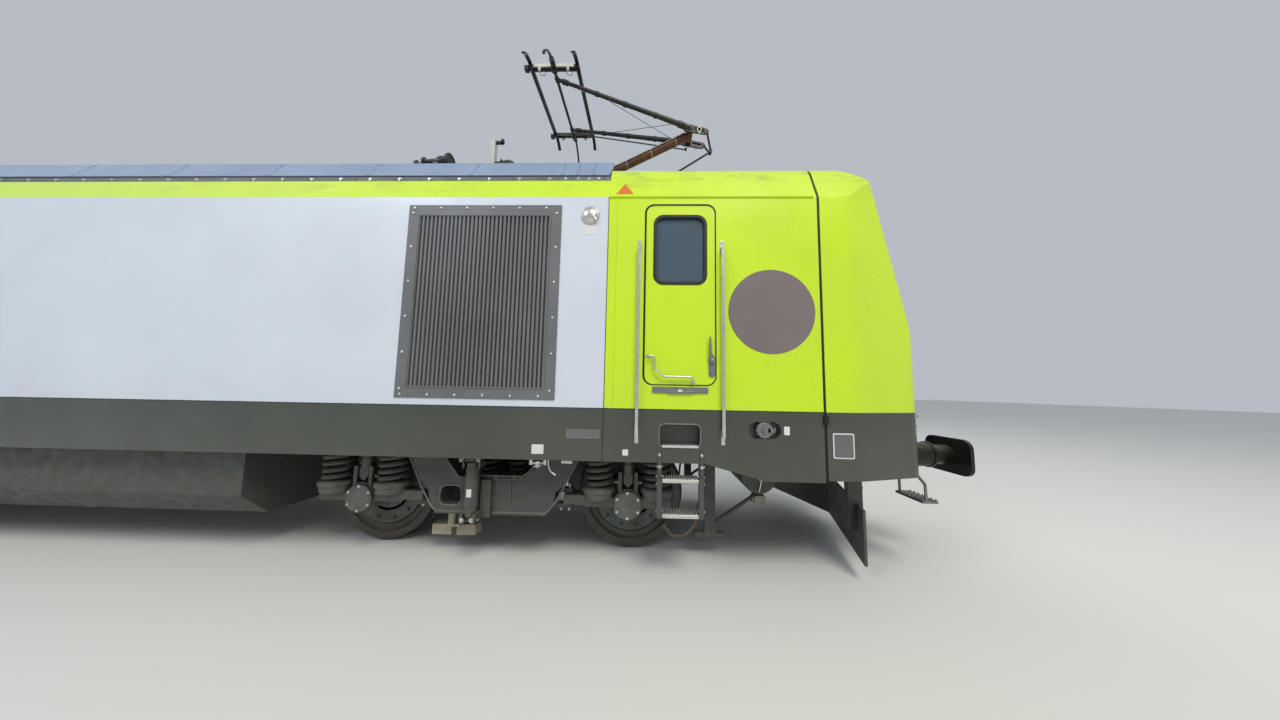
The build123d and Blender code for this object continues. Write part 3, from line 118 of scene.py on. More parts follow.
def mix(tree, amount, first, second):
    """Blends two colours by an amount."""
    made = node(tree, "ShaderNodeMix", data_type="RGBA")
    for socket, value in ((0, amount), (6, first), (7, second)):
        if isinstance(value, bpy.types.NodeSocket):
            tree.links.new(value, made.inputs[socket])
        else:
            made.inputs[socket].default_value = value
    return made.outputs[2]


def times(tree, first, second):
    """The product of two values."""
    return node(tree, "ShaderNodeMath", {0: first, 1: second}, operation="MULTIPLY").outputs[0]


def soft_edge_normal(tree, radius, bump=None, depth=0.0):
    """The normal of an edge rounded by paint or casting, with a fine bump on top where one is given."""
    rounded = node(tree, "ShaderNodeBevel", {"Radius": radius / 1000}, samples=4).outputs["Normal"]
    if bump is None:
        return rounded
    return node(
        tree, "ShaderNodeBump", {"Height": bump, "Distance": depth / 1000, "Strength": 0.6, "Normal": rounded}
    ).outputs["Normal"]


def height_of(tree, place):
    """Height above the flange tips, in metres."""
    return node(tree, "ShaderNodeSeparateXYZ", {"Vector": place}).outputs["Z"]


def enamel(name, colour, shade, roughness, coat, dust="#8f8878", dust_top=0.0, streaks=0.0, dusty=0.2, soot=0.0):
    """Two-pack enamel, sprayed: a deep colour under a clear gloss, with a faint orange peel.
    The shade is the same paint where it has faded. Dust lies on it up to a height, and soot near the roof."""
    material, tree, shader, place = start_material(name)
    cloud = ramp(tree, noise(tree, place, 900, detail=3), 0.35, 0.65)
    base = mix(tree, cloud, linear(colour), linear(shade))
    run = ramp(tree, noise(tree, place, 60, stretch=(1, 1, 14), detail=5), 0.52, 0.72, 0, streaks)
    base = mix(tree, run, base, linear(dust))
    speckle = ramp(tree, noise(tree, place, 45, detail=8, roughness=0.7), 0.30, 0.80)
    low = ramp(tree, height_of(tree, place), dust_top, max(dust_top - 0.9, 0.0), 0, dusty)
    base = mix(tree, times(tree, low, speckle), base, linear(dust))
    smudge = ramp(tree, noise(tree, place, 170, stretch=(2.2, 1, 1), detail=7, roughness=0.65), 0.52, 0.70, 0, soot)
    high = ramp(tree, height_of(tree, place), 3.58, 3.86)
    base = mix(tree, times(tree, high, smudge), base, linear("#77773a"))
    tree.links.new(base, shader.inputs["Base Color"])
    worn = ramp(tree, noise(tree, place, 350, detail=6), 0.3, 0.7, roughness - 0.06, roughness + 0.1)
    tree.links.new(worn, shader.inputs["Roughness"])
    shader.inputs["Coat Weight"].default_value = coat
    shader.inputs["Coat Roughness"].default_value = 0.12
    peel = noise(tree, place, 14, detail=2)
    tree.links.new(soft_edge_normal(tree, 4, peel, 0.05), shader.inputs["Normal"])
    return material


def grimy_shaded_steel(name, colour, grime, roughness=0.62, metallic=0.0, wear="#6d6a62", fine=18, settled=0.45):
    """Painted or cast steel of the running gear: painted shade darkens its corners, brake dust lies on its upper faces,
    and the paint is rubbed at its edges."""
    material, tree, shader, place = start_material(name)
    # painted shade: ambient occlusion darkens corners and hollows towards near black
    corner = node(tree, "ShaderNodeAmbientOcclusion", {"Distance": 0.16}, samples=4).outputs["AO"]
    corner_shade = ramp(tree, corner, 0.75, 0.25)
    blotch = ramp(tree, noise(tree, place, 120, detail=7), 0.38, 0.66)
    base = mix(tree, blotch, linear(colour), linear(grime))
    base = mix(tree, times(tree, corner_shade, 0.7), base, linear("#1c1a17"))
    up = node(tree, "ShaderNodeNewGeometry").outputs["Normal"]
    upward = ramp(tree, node(tree, "ShaderNodeSeparateXYZ", {"Vector": up}).outputs["Z"], 0.5, 0.95, 0, settled)
    base = mix(tree, upward, base, linear("#7a6f60"))
    chip = ramp(tree, noise(tree, place, 40, detail=8, roughness=0.7), 0.64, 0.68, 0, 0.6)
    base = mix(tree, chip, base, linear(wear))
    tree.links.new(base, shader.inputs["Base Color"])
    tree.links.new(ramp(tree, blotch, 0, 1, roughness - 0.12, roughness + 0.14), shader.inputs["Roughness"])
    shader.inputs["Metallic"].default_value = metallic
    tree.links.new(
        soft_edge_normal(tree, 5, noise(tree, place, fine, detail=5), 0.5), shader.inputs["Normal"]
    )
    return material


def bare_metal(name, colour, roughness, grain=None, stain="#5a5148", stained=0.25):
    """Bare metal: brushed, turned or drawn, its grain along one way, with dull stains."""
    material, tree, shader, place = start_material(name)
    stretch = grain or (1, 1, 1)
    lines = noise(tree, place, 4, stretch=stretch, detail=3)
    spots = ramp(tree, noise(tree, place, 90, detail=6), 0.5, 0.75, 0, stained)
    tree.links.new(mix(tree, spots, linear(colour), linear(stain)), shader.inputs["Base Color"])
    tree.links.new(ramp(tree, lines, 0.3, 0.7, roughness - 0.08, roughness + 0.1), shader.inputs["Roughness"])
    shader.inputs["Metallic"].default_value = 1.0
    tree.links.new(soft_edge_normal(tree, 2, lines, 0.05), shader.inputs["Normal"])
    return material


def moulding(name, colour, shade, roughness, grain=3, depth=0.1, bevel=3):
    """Moulded plastic or rubber with a fine spark-eroded grain and a bloom of dust."""
    material, tree, shader, place = start_material(name)
    bloom = ramp(tree, noise(tree, place, 160, detail=5), 0.4, 0.7)
    tree.links.new(mix(tree, bloom, linear(colour), linear(shade)), shader.inputs["Base Color"])
    tree.links.new(ramp(tree, bloom, 0, 1, roughness - 0.08, roughness + 0.08), shader.inputs["Roughness"])
    tree.links.new(
        soft_edge_normal(tree, bevel, noise(tree, place, grain, detail=3), depth), shader.inputs["Normal"]
    )
    return material


def glass_with_painted_sky():
    """Laminated safety glass: smoked, float-smooth, with a thin film of road dust. Its slate blue tints the glass and,
    in its diffuse part, is a painted reflection of the sky.
    """
    material, tree, shader, place = start_material("laminated_glass")
    film = ramp(tree, noise(tree, place, 220, detail=6), 0.35, 0.75, 0.02, 0.09)
    tree.links.new(film, shader.inputs["Roughness"])
    # painted reflection: the slate-blue diffuse colour stands in for the sky the glass reflects
    shader.inputs["Base Color"].default_value = linear("#6a8294")
    shader.inputs["Transmission Weight"].default_value = 0.6
    shader.inputs["IOR"].default_value = 1.52
    return material


def clear_lens():
    """Polycarbonate lamp cover: clear and fluted inside; its pale colour, banded bright and grey along the flutes, is
    painted glints over a bright bowl.
    """
    material, tree, shader, place = start_material("polycarbonate_lens")
    flute = node(tree, "ShaderNodeTexWave", {"Vector": place, "Scale": millimetres(120)}, bands_direction="Y")
    # painted glints: the flutes band the cover's colour between pale and grey
    tree.links.new(
        mix(tree, flute.outputs["Fac"], linear("#d9dcde"), linear("#8f9496")), shader.inputs["Base Color"]
    )
    shader.inputs["Roughness"].default_value = 0.06
    shader.inputs["Coat Weight"].default_value = 1.0
    tree.links.new(
        soft_edge_normal(tree, 3, flute.outputs["Fac"], 0.6), shader.inputs["Normal"]
    )
    return material


def woven_cloth(name, warp, weft):
    """Wool moquette for the seats: a tight two-colour weave, 4 mm drawn for 1 mm so that it shows."""
    material, tree, shader, place = start_material(name)
    across = node(
        tree, "ShaderNodeTexWave", {"Vector": place, "Scale": millimetres(80)}, bands_direction="X"
    ).outputs["Fac"]
    along = node(
        tree, "ShaderNodeTexWave", {"Vector": place, "Scale": millimetres(80)}, bands_direction="Z"
    ).outputs["Fac"]
    weave = times(tree, across, along)
    tree.links.new(mix(tree, weave, linear(warp), linear(weft)), shader.inputs["Base Color"])
    shader.inputs["Roughness"].default_value = 0.85
    shader.inputs["Sheen Weight"].default_value = 0.4
    tree.links.new(soft_edge_normal(tree, 12, weave, 0.8), shader.inputs["Normal"])
    return material


LIME = enamel("lime_enamel", "#c4e60c", "#bfe01c", 0.30, 0.6, dust_top=2.0, dusty=0.10, soot=0.55)
WHITE = enamel("white_aluminium_enamel", "#c8d1dc", "#ced7e1", 0.34, 0.5, dust_top=2.0, dusty=0.12)
SILL = enamel("slate_enamel", "#3b4039", "#42473f", 0.40, 0.25, dust="#6b6557", dust_top=1.7)
GRILLE = enamel("powder_coat_grey", "#606265", "#6a6c6f", 0.42, 0.1, dust_top=2.2, dusty=0.15)
FAIRING = enamel("fairing_enamel", "#7489a8", "#8499b6", 0.34, 0.3, dust="#9a9c9c", streaks=0.4)
ROOF = enamel("roof_enamel", "#6f7376", "#63676a", 0.6, 0.0, dust="#4a463f", dust_top=6.0, streaks=0.6)
GLASS = glass_with_painted_sky()
RUBBER = moulding("epdm_rubber", "#0d0e0e", "#1a1b1b", 0.62)
LENS = clear_lens()
PANEL = moulding("grained_abs", "#4a4d50", "#54575a", 0.6, grain=6, depth=0.3, bevel=8)
FLOOR_MAT = moulding("studded_rubber", "#1d1e20", "#26272a", 0.7, grain=20, depth=1.0)
CLOTH = woven_cloth("wool_moquette", "#1b2433", "#2f3c55")
UNDER = grimy_shaded_steel("underframe_enamel", "#474c4b", "#4b4840")
CASTING = grimy_shaded_steel("cast_steel_painted", "#4e5450", "#565147", fine=9)
SPRING = grimy_shaded_steel("spring_steel_painted", "#3c403e", "#47433a", roughness=0.45)
DAMPER = grimy_shaded_steel("damper_enamel", "#4c4f4b", "#57513f", roughness=0.5)
WHEEL = grimy_shaded_steel("forged_wheel_steel", "#484a45", "#504a40", roughness=0.5, metallic=0.5)
STAINLESS = bare_metal("brushed_stainless", "#d2d1cb", 0.30, grain=(1, 1, 30))
BUFFER = grimy_shaded_steel("greased_steel", "#1d1d1c", "#26231f", roughness=0.4, metallic=0.4)
MACHINE = grimy_shaded_steel("machine_enamel", "#56595a", "#4b4a45")
GLAZE = moulding("silicone_rubber_brown", "#4a2116", "#5a2c1e", 0.4)
OXIDE = grimy_shaded_steel("oxide_red_enamel", "#5c261c", "#4c2a22", roughness=0.5, wear="#6a4a40", settled=0.15)
ALLOY = bare_metal("weathered_alloy", "#6d7074", 0.5, stain="#2c2a28", stained=0.7)

HORN = moulding("black_enamel", "#121313", "#1d1e1e", 0.45)
POST = moulding("pale_grey_enamel", "#b9bab6", "#a5a49e", 0.5)
MAGNET = moulding("beige_resin", "#a59c86", "#8d8470", 0.6, grain=5, depth=0.3)
CAST_GREY = bare_metal("anodised_alloy", "#8b8d8d", 0.42, stain="#5f605e", stained=0.3)
BRIGHT_ALLOY = bare_metal("worn_tread_alloy", "#d9dad6", 0.36, stain="#8c8a82", stained=0.3)
BRIGHT_ZINC = bare_metal("zinc_plate", "#c9cbc9", 0.32, stain="#8a867a", stained=0.35)
DULL_ZINC = bare_metal("dull_zinc_plate", "#8b8a84", 0.46, stain="#4f473c", stained=0.6)
DISC = enamel("taupe_grey_film", "#726768", "#786d6d", 0.36, 0.2)
PLATE_WHITE = enamel("plate_white", "#d9dbd9", "#cfd2d0", 0.4, 0.2)
PLATE_SLATE = enamel("plate_slate", "#585c5c", "#626665", 0.4, 0.2)
PLATE_ORANGE = enamel("plate_orange", "#cf6d0c", "#c0620a", 0.42, 0.2)
PLATE_GREY = moulding("putty_resin", "#8f8977", "#7c7564", 0.6)
COVER = grimy_shaded_steel("cover_enamel", "#5b605b", "#4e4f47", roughness=0.5, wear="#8d9089", fine=9)
# a lighter grey for the tubes along the side beam's edges
PALE_EDGE = grimy_shaded_steel("worn_edge_enamel", "#6b706e", "#5d5a52", roughness=0.5)
RUBBED_DISC = grimy_shaded_steel("rubbed_disc_iron", "#525a56", "#4c4a42", roughness=0.4, metallic=0.3)
WORN_PIPE = grimy_shaded_steel("worn_pipe_steel", "#5e5245", "#6e604d", roughness=0.5)

CARBON = moulding("sooted_enamel", "#15161a", "#24262b", 0.5)
LINK_WHITE = moulding("cream_enamel", "#cfcdc4", "#aeaaa0", 0.45)

SLOT_MATERIALS = {
    "lime_enamel": LIME, "window_glass": GLASS, "white_enamel": WHITE, "sill_enamel": SILL,
    "grille_alloy": GRILLE, "fairing_enamel": FAIRING, "roof_enamel": ROOF, "seal_rubber": RUBBER,
    "lamp_lens": LENS, "interior_panel": PANEL, "floor_rubber": FLOOR_MAT, "seat_cloth": CLOTH,
    "underframe_enamel": UNDER, "axle_box_casting": CASTING, "spring_steel": SPRING,
    "damper_enamel": DAMPER, "wheel_steel": WHEEL, "rail_stainless": STAINLESS, "buffer_steel": BUFFER,
    "machine_enamel": MACHINE, "insulator_glaze": GLAZE, "pantograph_enamel": OXIDE,
    "pantograph_alloy": CARBON, "horn_enamel": HORN, "post_enamel": POST, "magnet_plastic": MAGNET,
}
for part in frame["record"]["subparts"]:
    mesh = frame["nodes"][part["node"]].data
    mesh.materials.clear()
    mesh.materials.append(SLOT_MATERIALS[part["material_slot"]])


# Measures: stations along an axis and points round a circle
SIDE_VIEW, LEVEL, END_VIEW = (0, 2), (0, 1), (1, 2)


def about(middle, half):
    """The two stations this far to either side of a middle."""
    return middle - half, middle + half


def wider(span, grow):
    """A span with both ends moved out, or in where the growth is negative."""
    return span[0] - grow, span[1] + grow


def spaced(low, high, pitch):
    """Even stations from low to high, about this pitch apart."""
    count = max(1, round((high - low) / pitch))
    return [low + (high - low) * k / count for k in range(count + 1)]


def around(centre, radius, count, start=0.0, axes=SIDE_VIEW):
    """Points evenly round a circle that lies along two axes, from a start in degrees."""
    points = []
    for k in range(count):
        angle = math.radians(start) + 2 * math.pi * k / count
        point = list(centre)
        point[axes[0]] += radius * math.cos(angle)
        point[axes[1]] += radius * math.sin(angle)
        points.append(Vector(point))
    return points


# Shapes: each of these adds one form to a mesh being built, in metres
def add_block(mesh, x, y, z):
    """A block between two stations along each axis."""
    made = bmesh.ops.create_cube(mesh, size=1.0)["verts"]
    bmesh.ops.scale(mesh, vec=(x[1] - x[0], y[1] - y[0], z[1] - z[0]), verts=made)
    bmesh.ops.translate(mesh, vec=((x[0] + x[1]) / 2, (y[0] + y[1]) / 2, (z[0] + z[1]) / 2), verts=made)


def add_bar(mesh, start, end, radius, end_radius=None, sides=16):
    """A round bar between two points, tapered where it is given a second radius."""
    start, end = Vector(start), Vector(end)
    turned = (end - start).to_track_quat("Z", "Y").to_matrix().to_4x4()
    bmesh.ops.create_cone(
        mesh, cap_ends=True, segments=sides, radius1=radius,
        radius2=radius if end_radius is None else end_radius,
        depth=(end - start).length, matrix=Matrix.Translation((start + end) / 2) @ turned,
    )


def add_turned(mesh, at, way, profile, sides=32):
    """A lathe-turned form: its profile is pairs of reach along the way it faces and radius."""
    turned = Vector(way).to_track_quat("Z", "Y").to_matrix().to_4x4()
    place = Matrix.Translation(at) @ turned
    rings = []
    for reach, radius in profile:
        if radius == 0:
            rings.append([mesh.verts.new(place @ Vector((0, 0, reach)))])
            continue
        rings.append([
            mesh.verts.new(place @ Vector((
                radius * math.cos(2 * math.pi * k / sides), radius * math.sin(2 * math.pi * k / sides), reach
            ))) for k in range(sides)
        ])
    for low, high in zip(rings, rings[1:]):
        for k in range(sides):
            corners = [low[k % len(low)], low[(k + 1) % len(low)], high[(k + 1) % len(high)], high[k % len(high)]]
            mesh.faces.new(list(dict.fromkeys(corners)))
    for ring, flip in ((rings[0], True), (rings[-1], False)):
        if len(ring) > 1:
            mesh.faces.new(list(reversed(ring)) if flip else ring)


def add_bolt(mesh, at, way, size):
    """A hexagon bolt head on its washer; the size is the head's radius."""
    at, way = Vector(at), Vector(way).normalized()
    add_bar(mesh, at, at + way * size * 0.25, size * 1.35, sides=20)
    add_turned(
        mesh, at + way * size * 0.25, way,
        ((0, size), (size * 0.6, size), (size * 0.75, size * 0.8)), sides=6,
    )

def add_bolts(mesh, points, way, size):
    """A bolt at each of the points."""
    for at in points:
        add_bolt(mesh, at, way, size)
def add_rivet(mesh, at, way, size):
    """A dome-headed screw, of this radius."""
    add_turned(
        mesh, at, way,
        ((0, size), (size * 0.3, size * 0.95), (size * 0.55, size * 0.7), (size * 0.68, size * 0.35),
         (size * 0.7, 0)), sides=14,
    )


def add_plate(mesh, outline, y):
    """A plate with an outline in the side view, given as x and z, between two stations across."""
    near = [mesh.verts.new((x, y[0], z)) for x, z in outline]
    far = [mesh.verts.new((x, y[1], z)) for x, z in outline]
    mesh.faces.new(near)
    mesh.faces.new(list(reversed(far)))
    for k in range(len(outline)):
        after = (k + 1) % len(outline)
        mesh.faces.new([near[after], near[k], far[k], far[after]])


def add_frame(mesh, outer, inner, y):
    """A frame between two outlines of as many corners, in the side view, between two stations across."""
    loops = [
        [mesh.verts.new((x, station, z)) for x, z in outline]
        for outline, station in ((outer, y[0]), (inner, y[0]), (inner, y[1]), (outer, y[1]))
    ]
    for k in range(4):
        first, second = loops[k], loops[(k + 1) % 4]
        for j in range(len(outer)):
            after = (j + 1) % len(outer)
            mesh.faces.new([first[j], first[after], second[after], second[j]])


def rounded(x, z, radius, steps=8):
    """A rectangle's outline with round corners, as x and z."""
    corners = (
        (x[1] - radius, z[1] - radius, 0), (x[0] + radius, z[1] - radius, 90),
        (x[0] + radius, z[0] + radius, 180), (x[1] - radius, z[0] + radius, 270),
    )
    return [
        (cx + radius * math.cos(math.radians(start + 90 * k / steps)),
         cz + radius * math.sin(math.radians(start + 90 * k / steps)))
        for cx, cz, start in corners for k in range(steps + 1)
    ]

def add_rim(mesh, x, z, outer, inner, y, steps=8):
    """A frame along a rectangle: each outline is the rectangle grown by a measure, with corners of a radius."""
    outlines = [rounded(wider(x, grow), wider(z, grow), radius, steps) for grow, radius in (outer, inner)]
    add_frame(mesh, *outlines, y)


def add_tube(mesh, path, radius, sides=10):
    """A tube whose middle follows the points of a path."""
    path = [Vector(p) for p in path]
    rings, turned = [], None
    for k, point in enumerate(path):
        before = path[k - 1] if k else point
        after = path[k + 1] if k + 1 < len(path) else point
        way = (after - before).normalized()
        if turned is None:
            turned = way.to_track_quat("Z", "Y")
        else:
            turned = (turned @ Vector((0, 0, 1))).rotation_difference(way) @ turned
        rings.append([
            mesh.verts.new(point + turned @ Vector((
                radius * math.cos(2 * math.pi * j / sides), radius * math.sin(2 * math.pi * j / sides), 0
            ))) for j in range(sides)
        ])
    for low, high in zip(rings, rings[1:]):
        for j in range(sides):
            mesh.faces.new([low[j], low[(j + 1) % sides], high[(j + 1) % sides], high[j]])
    mesh.faces.new(list(reversed(rings[0])))
    mesh.faces.new(rings[-1])


BEND_STEPS = 6


def bent(points, radius):
    """The path of a bar bent at a radius where its straight runs meet."""
    points = [Vector(p) for p in points]
    path = [points[0]]
    for before, corner, after in zip(points, points[1:], points[2:]):
        back, onward = (before - corner).normalized(), (after - corner).normalized()
        half = back.angle(onward) / 2
        run = min(radius / math.tan(half), (before - corner).length * 0.49, (after - corner).length * 0.49)
        start, end = corner + back * run, corner + onward * run
        for k in range(BEND_STEPS + 1):
            t = k / BEND_STEPS
            path.append(start * (1 - t) ** 2 + corner * 2 * t * (1 - t) + end * t ** 2)
    return path + [points[-1]]


def mirrored(mesh, scale):
    """Adds the mirror image of all that the mesh holds so far."""
    made = bmesh.ops.duplicate(mesh, geom=mesh.verts[:] + mesh.edges[:] + mesh.faces[:])["geom"]
    bmesh.ops.scale(mesh, vec=scale, verts=[part for part in made if isinstance(part, bmesh.types.BMVert)])
    bmesh.ops.reverse_faces(mesh, faces=[part for part in made if isinstance(part, bmesh.types.BMFace)])


ACROSS, ALONG, OPPOSITE, AS_DRAWN = (1, -1, 1), (-1, 1, 1), (-1, -1, 1), (1, 1, 1)
# Mirror images: to both sides, or to both sides and both ends
BOTH, FOUR = (ACROSS,), (ACROSS, ALONG)
OUT, UP, DOWN, AHEAD = (0, -1, 0), (0, 0, 1), (0, 0, -1), (1, 0, 0)
SMOOTH_ANGLE = math.radians(38)
EDGE_STEPS = 2


def piece(name, draw, material, body, images=(), place=AS_DRAWN, edge=0.0):
    """Draws a piece of one mesh, mirrors it as asked, and lets it ride on a CAD body.
    Images add mirror images to the mesh; the place turns the whole piece to another side or end."""
    mesh = bmesh.new()
    draw(mesh)
    for scale in images:
        mirrored(mesh, scale)
    if place != AS_DRAWN:
        bmesh.ops.scale(mesh, vec=place, verts=mesh.verts[:])
        if place[0] * place[1] * place[2] < 0:
            bmesh.ops.reverse_faces(mesh, faces=mesh.faces[:])
    bmesh.ops.recalc_face_normals(mesh, faces=mesh.faces[:])
    data = bpy.data.meshes.new(name)
    mesh.to_mesh(data)
    mesh.free()
    data.shade_smooth()
    data.set_sharp_from_angle(angle=SMOOTH_ANGLE)
    data.materials.append(material)
    made = bpy.data.objects.new(name, data)
    bpy.context.scene.collection.objects.link(made)
    if edge:
        soft = made.modifiers.new("edge", "BEVEL")
        soft.width, soft.segments, soft.limit_method = edge, EDGE_STEPS, "ANGLE"
        soft.harden_normals = True
    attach(made, body)
    return made


ENDS = (("a", AS_DRAWN), ("b", ALONG))
DOORS = (
    # body, place: how the door drawn at the first cab's right is turned to its own side and end
    ("door_a_right", AS_DRAWN), ("door_a_left", ACROSS), ("door_b_right", ALONG), ("door_b_left", OPPOSITE),
)

# Body side: door surrounds, plates, rails and fittings
LEAF_LOW, LEAF_HIGH = BOXES["door_a_right_leaf"]
PANE_LOW, PANE_HIGH = BOXES["door_a_right_pane"]
DOOR_GAP = 0.010
DOOR_X = (LEAF_LOW.x - DOOR_GAP, LEAF_HIGH.x + DOOR_GAP)
DOOR_Z = (LEAF_LOW.z - DOOR_GAP, LEAF_HIGH.z + DOOR_GAP)
DOOR_R = 0.090
GASKET_WIDE = 0.0095
PANE_R = 0.080
SKIN = -SIDE
LEAF_SKIN = LEAF_LOW.y


def door_gasket(mesh):
    add_rim(mesh, DOOR_X, DOOR_Z, (0, DOOR_R), (-GASKET_WIDE, DOOR_R - GASKET_WIDE), (SKIN - 0.001, SKIN + 0.030))


piece("door_gaskets", door_gasket, RUBBER, "carbody", FOUR)


def window_rubber(mesh):
    x, z = (PANE_LOW.x, PANE_HIGH.x), (PANE_LOW.z, PANE_HIGH.z)
    add_rim(mesh, x, z, (0.016, PANE_R + 0.016), (-0.014, PANE_R - 0.014), (LEAF_SKIN - 0.004, PANE_LOW.y))


HANDLE_X = LEAF_HIGH.x - 0.034
HANDLE_Z = 1.935


def door_handle(mesh):
    """A long cast lever on a rounded plate with the lock below it."""
    add_plate(mesh, rounded(about(HANDLE_X, 0.028), about(HANDLE_Z, 0.10), 0.027),
              (LEAF_SKIN - 0.010, LEAF_SKIN))
    add_turned(mesh, (HANDLE_X, LEAF_SKIN - 0.010, HANDLE_Z - 0.055), OUT,
               ((0, 0.020), (0.008, 0.020), (0.010, 0.016), (0.010, 0.008), (0.004, 0.007)), sides=24)
    add_turned(mesh, (HANDLE_X, LEAF_SKIN - 0.010, HANDLE_Z + 0.045), OUT,
               ((0, 0.023), (0.028, 0.021), (0.032, 0.016), (0.032, 0)), sides=24)
    lever = (
        (HANDLE_X - 0.020, HANDLE_Z + 0.035), (HANDLE_X + 0.020, HANDLE_Z + 0.035),
        (HANDLE_X + 0.024, HANDLE_Z + 0.075), (HANDLE_X - 0.002, HANDLE_Z + 0.120),
        (HANDLE_X - 0.010, HANDLE_Z + 0.265), (HANDLE_X - 0.018, HANDLE_Z + 0.272),
        (HANDLE_X - 0.024, HANDLE_Z + 0.262), (HANDLE_X - 0.026, HANDLE_Z + 0.120),
    )
    add_plate(mesh, lever, (LEAF_SKIN - 0.040, LEAF_SKIN - 0.022))


GRAB_OFF = 0.036


def door_grab(mesh):
    """The bent grab bar low on the door, between two bolted feet."""
    y = LEAF_SKIN - GRAB_OFF
    add_tube(mesh, bent(
        ((6.788, y, 2.022), (6.836, y, 2.020), (6.842, y, 1.905), (6.930, y, 1.836), (7.186, y, 1.834),
         (7.192, y, 1.768)), 0.045), 0.0095, sides=12)
    for x, z, wide, tall in ((6.790, 2.022, 0.062, 0.026), (7.194, 1.778, 0.034, 0.040)):
        add_block(mesh, about(x, wide / 2), (LEAF_SKIN - 0.007, LEAF_SKIN), about(z, tall / 2))
        add_bar(mesh, (x, LEAF_SKIN, z), (x, y, z), 0.009, sides=12)
        for side in (-1, 1):
            add_rivet(mesh, (x + side * wide * 0.3, LEAF_SKIN - 0.007, z), OUT, 0.006)


for body, place in DOORS:
    end = body[5:]
    piece(f"window_rubber_{end}", window_rubber, RUBBER, body, place=place, edge=0.002)
    piece(f"door_handle_{end}", door_handle, CAST_GREY, body, place=place, edge=0.003)
    piece(f"door_grab_{end}", door_grab, STAINLESS, body, place=place, edge=0.001)

SILL_PLATE_X = (6.823, 7.329)
SILL_PLATE_Z = (1.688, 1.744)


def sill_plates(mesh):
    add_block(mesh, SILL_PLATE_X, (SKIN - 0.012, SKIN), SILL_PLATE_Z)
    middle, low = sum(SILL_PLATE_X) / 2, SILL_PLATE_Z[0]
    add_block(mesh, about(middle, 0.12), (SKIN - 0.018, SKIN), (low - 0.006, low + 0.018))


piece("door_sill_plates", sill_plates, CAST_GREY, "carbody", FOUR, edge=0.002)

DISC_AT = (7.912, SKIN, 2.450)
DISC_R = 0.395
piece(
    "side_discs",
    lambda mesh: add_turned(mesh, DISC_AT, OUT, ((0, DISC_R), (0.0015, DISC_R), (0.0025, DISC_R - 0.001)), sides=128),
    DISC, "carbody", FOUR,
)

RAIL_X = (6.687, 7.461)
RAIL_ENDS = (1.300, 3.055)


def rail_bolts(mesh):
    for x in RAIL_X:
        for z in RAIL_ENDS:
            for off in (-0.046, 0.046):
                add_bolt(mesh, (x, SKIN - 0.006, z + off), OUT, 0.009)


piece("handrail_bolts", rail_bolts, STAINLESS, "carbody", FOUR)

GRILLE_LOW, GRILLE_HIGH = BOXES["grilles"]
GRILLE_X = (GRILLE_HIGH.x - 1.500, GRILLE_HIGH.x)
GRILLE_Z = (GRILLE_LOW.z, GRILLE_HIGH.z)
GRILLE_SKIN = GRILLE_LOW.y
GRILLE_BORDER = 0.110


def grille_screws(mesh):
    for x in spaced(GRILLE_X[0] + 0.055, GRILLE_X[1] - 0.150, 0.239):
        for z in wider(GRILLE_Z, -0.030):
            add_rivet(mesh, (x, GRILLE_SKIN, z), OUT, 0.014)
    for z in spaced(GRILLE_Z[0] + 0.082, GRILLE_Z[1] - 0.082, 0.31):
        for x in wider(GRILLE_X, -0.045):
            add_rivet(mesh, (x, GRILLE_SKIN, z), OUT, 0.014)


def grille_lips(mesh):
    """The turned-in lip round the slats."""
    x, z = wider(GRILLE_X, -GRILLE_BORDER), wider(GRILLE_Z, -GRILLE_BORDER)
    add_rim(mesh, x, z, (0.014, 0.010), (0, 0.004), (GRILLE_SKIN - 0.006, GRILLE_SKIN + 0.020), 3)


piece("grille_screws", grille_screws, BRIGHT_ZINC, "carbody", FOUR)
piece("grille_lips", grille_lips, GRILLE, "carbody", FOUR, edge=0.003)

# Drip ledge over the door and the joints of the side panels
LEDGE_Z = BOXES["side_walls"][1].z


def drip_ledge(mesh):
    ledge = ((LEDGE_Z - 0.010, 0.0), (LEDGE_Z - 0.006, 0.011), (LEDGE_Z + 0.004, 0.013), (LEDGE_Z + 0.016, -0.004))
    x = (CAB_REAR, CAB_FRONT - 0.030)
    for (low_z, low_off), (high_z, high_off) in zip(ledge, ledge[1:]):
        mesh.faces.new([
            mesh.verts.new((x[0], SKIN - low_off, low_z)), mesh.verts.new((x[1], SKIN - low_off, low_z)),
            mesh.verts.new((x[1], SKIN - high_off, high_z)), mesh.verts.new((x[0], SKIN - high_off, high_z)),
        ])
    for station in x:
        mesh.faces.new([mesh.verts.new((station, SKIN - off, z)) for z, off in ledge])
    bmesh.ops.remove_doubles(mesh, verts=mesh.verts[:], dist=1e-5)


piece("drip_ledges", drip_ledge, LIME, "carbody", FOUR)


def panel_seams(mesh):
    add_block(mesh, (CAB_REAR - 0.004, CAB_REAR + 0.003), (SKIN - 0.0012, SKIN), (SILL_TOP, LEDGE_Z))
    add_block(mesh, (CAB_REAR + 0.003, CAB_FRONT), (SKIN - 0.0010, SKIN), (SILL_TOP - 0.005, SILL_TOP + 0.002))
    add_block(mesh, (0, CAB_REAR + 0.003), (SKIN - 0.0010, SKIN), (SILL_TOP - 0.005, SILL_TOP + 0.002))


def panel_beads(mesh):
    x, z = (CAB_REAR + 0.080, CAB_REAR + 0.084), (SILL_TOP + 0.003, LEDGE_Z - 0.012)
    add_plate(mesh, [(x[0], z[0]), (x[1], z[0]), (x[1], z[1]), (x[0], z[1])], (SKIN - 0.002, SKIN))


piece("panel_seams", panel_seams, RUBBER, "carbody", FOUR)
piece("panel_beads", panel_beads, LIME, "carbody", FOUR)

# Round flap fitting above the grille, with its spout and the small blank plate below
FLAP_AT = (6.207, SKIN, 3.372)


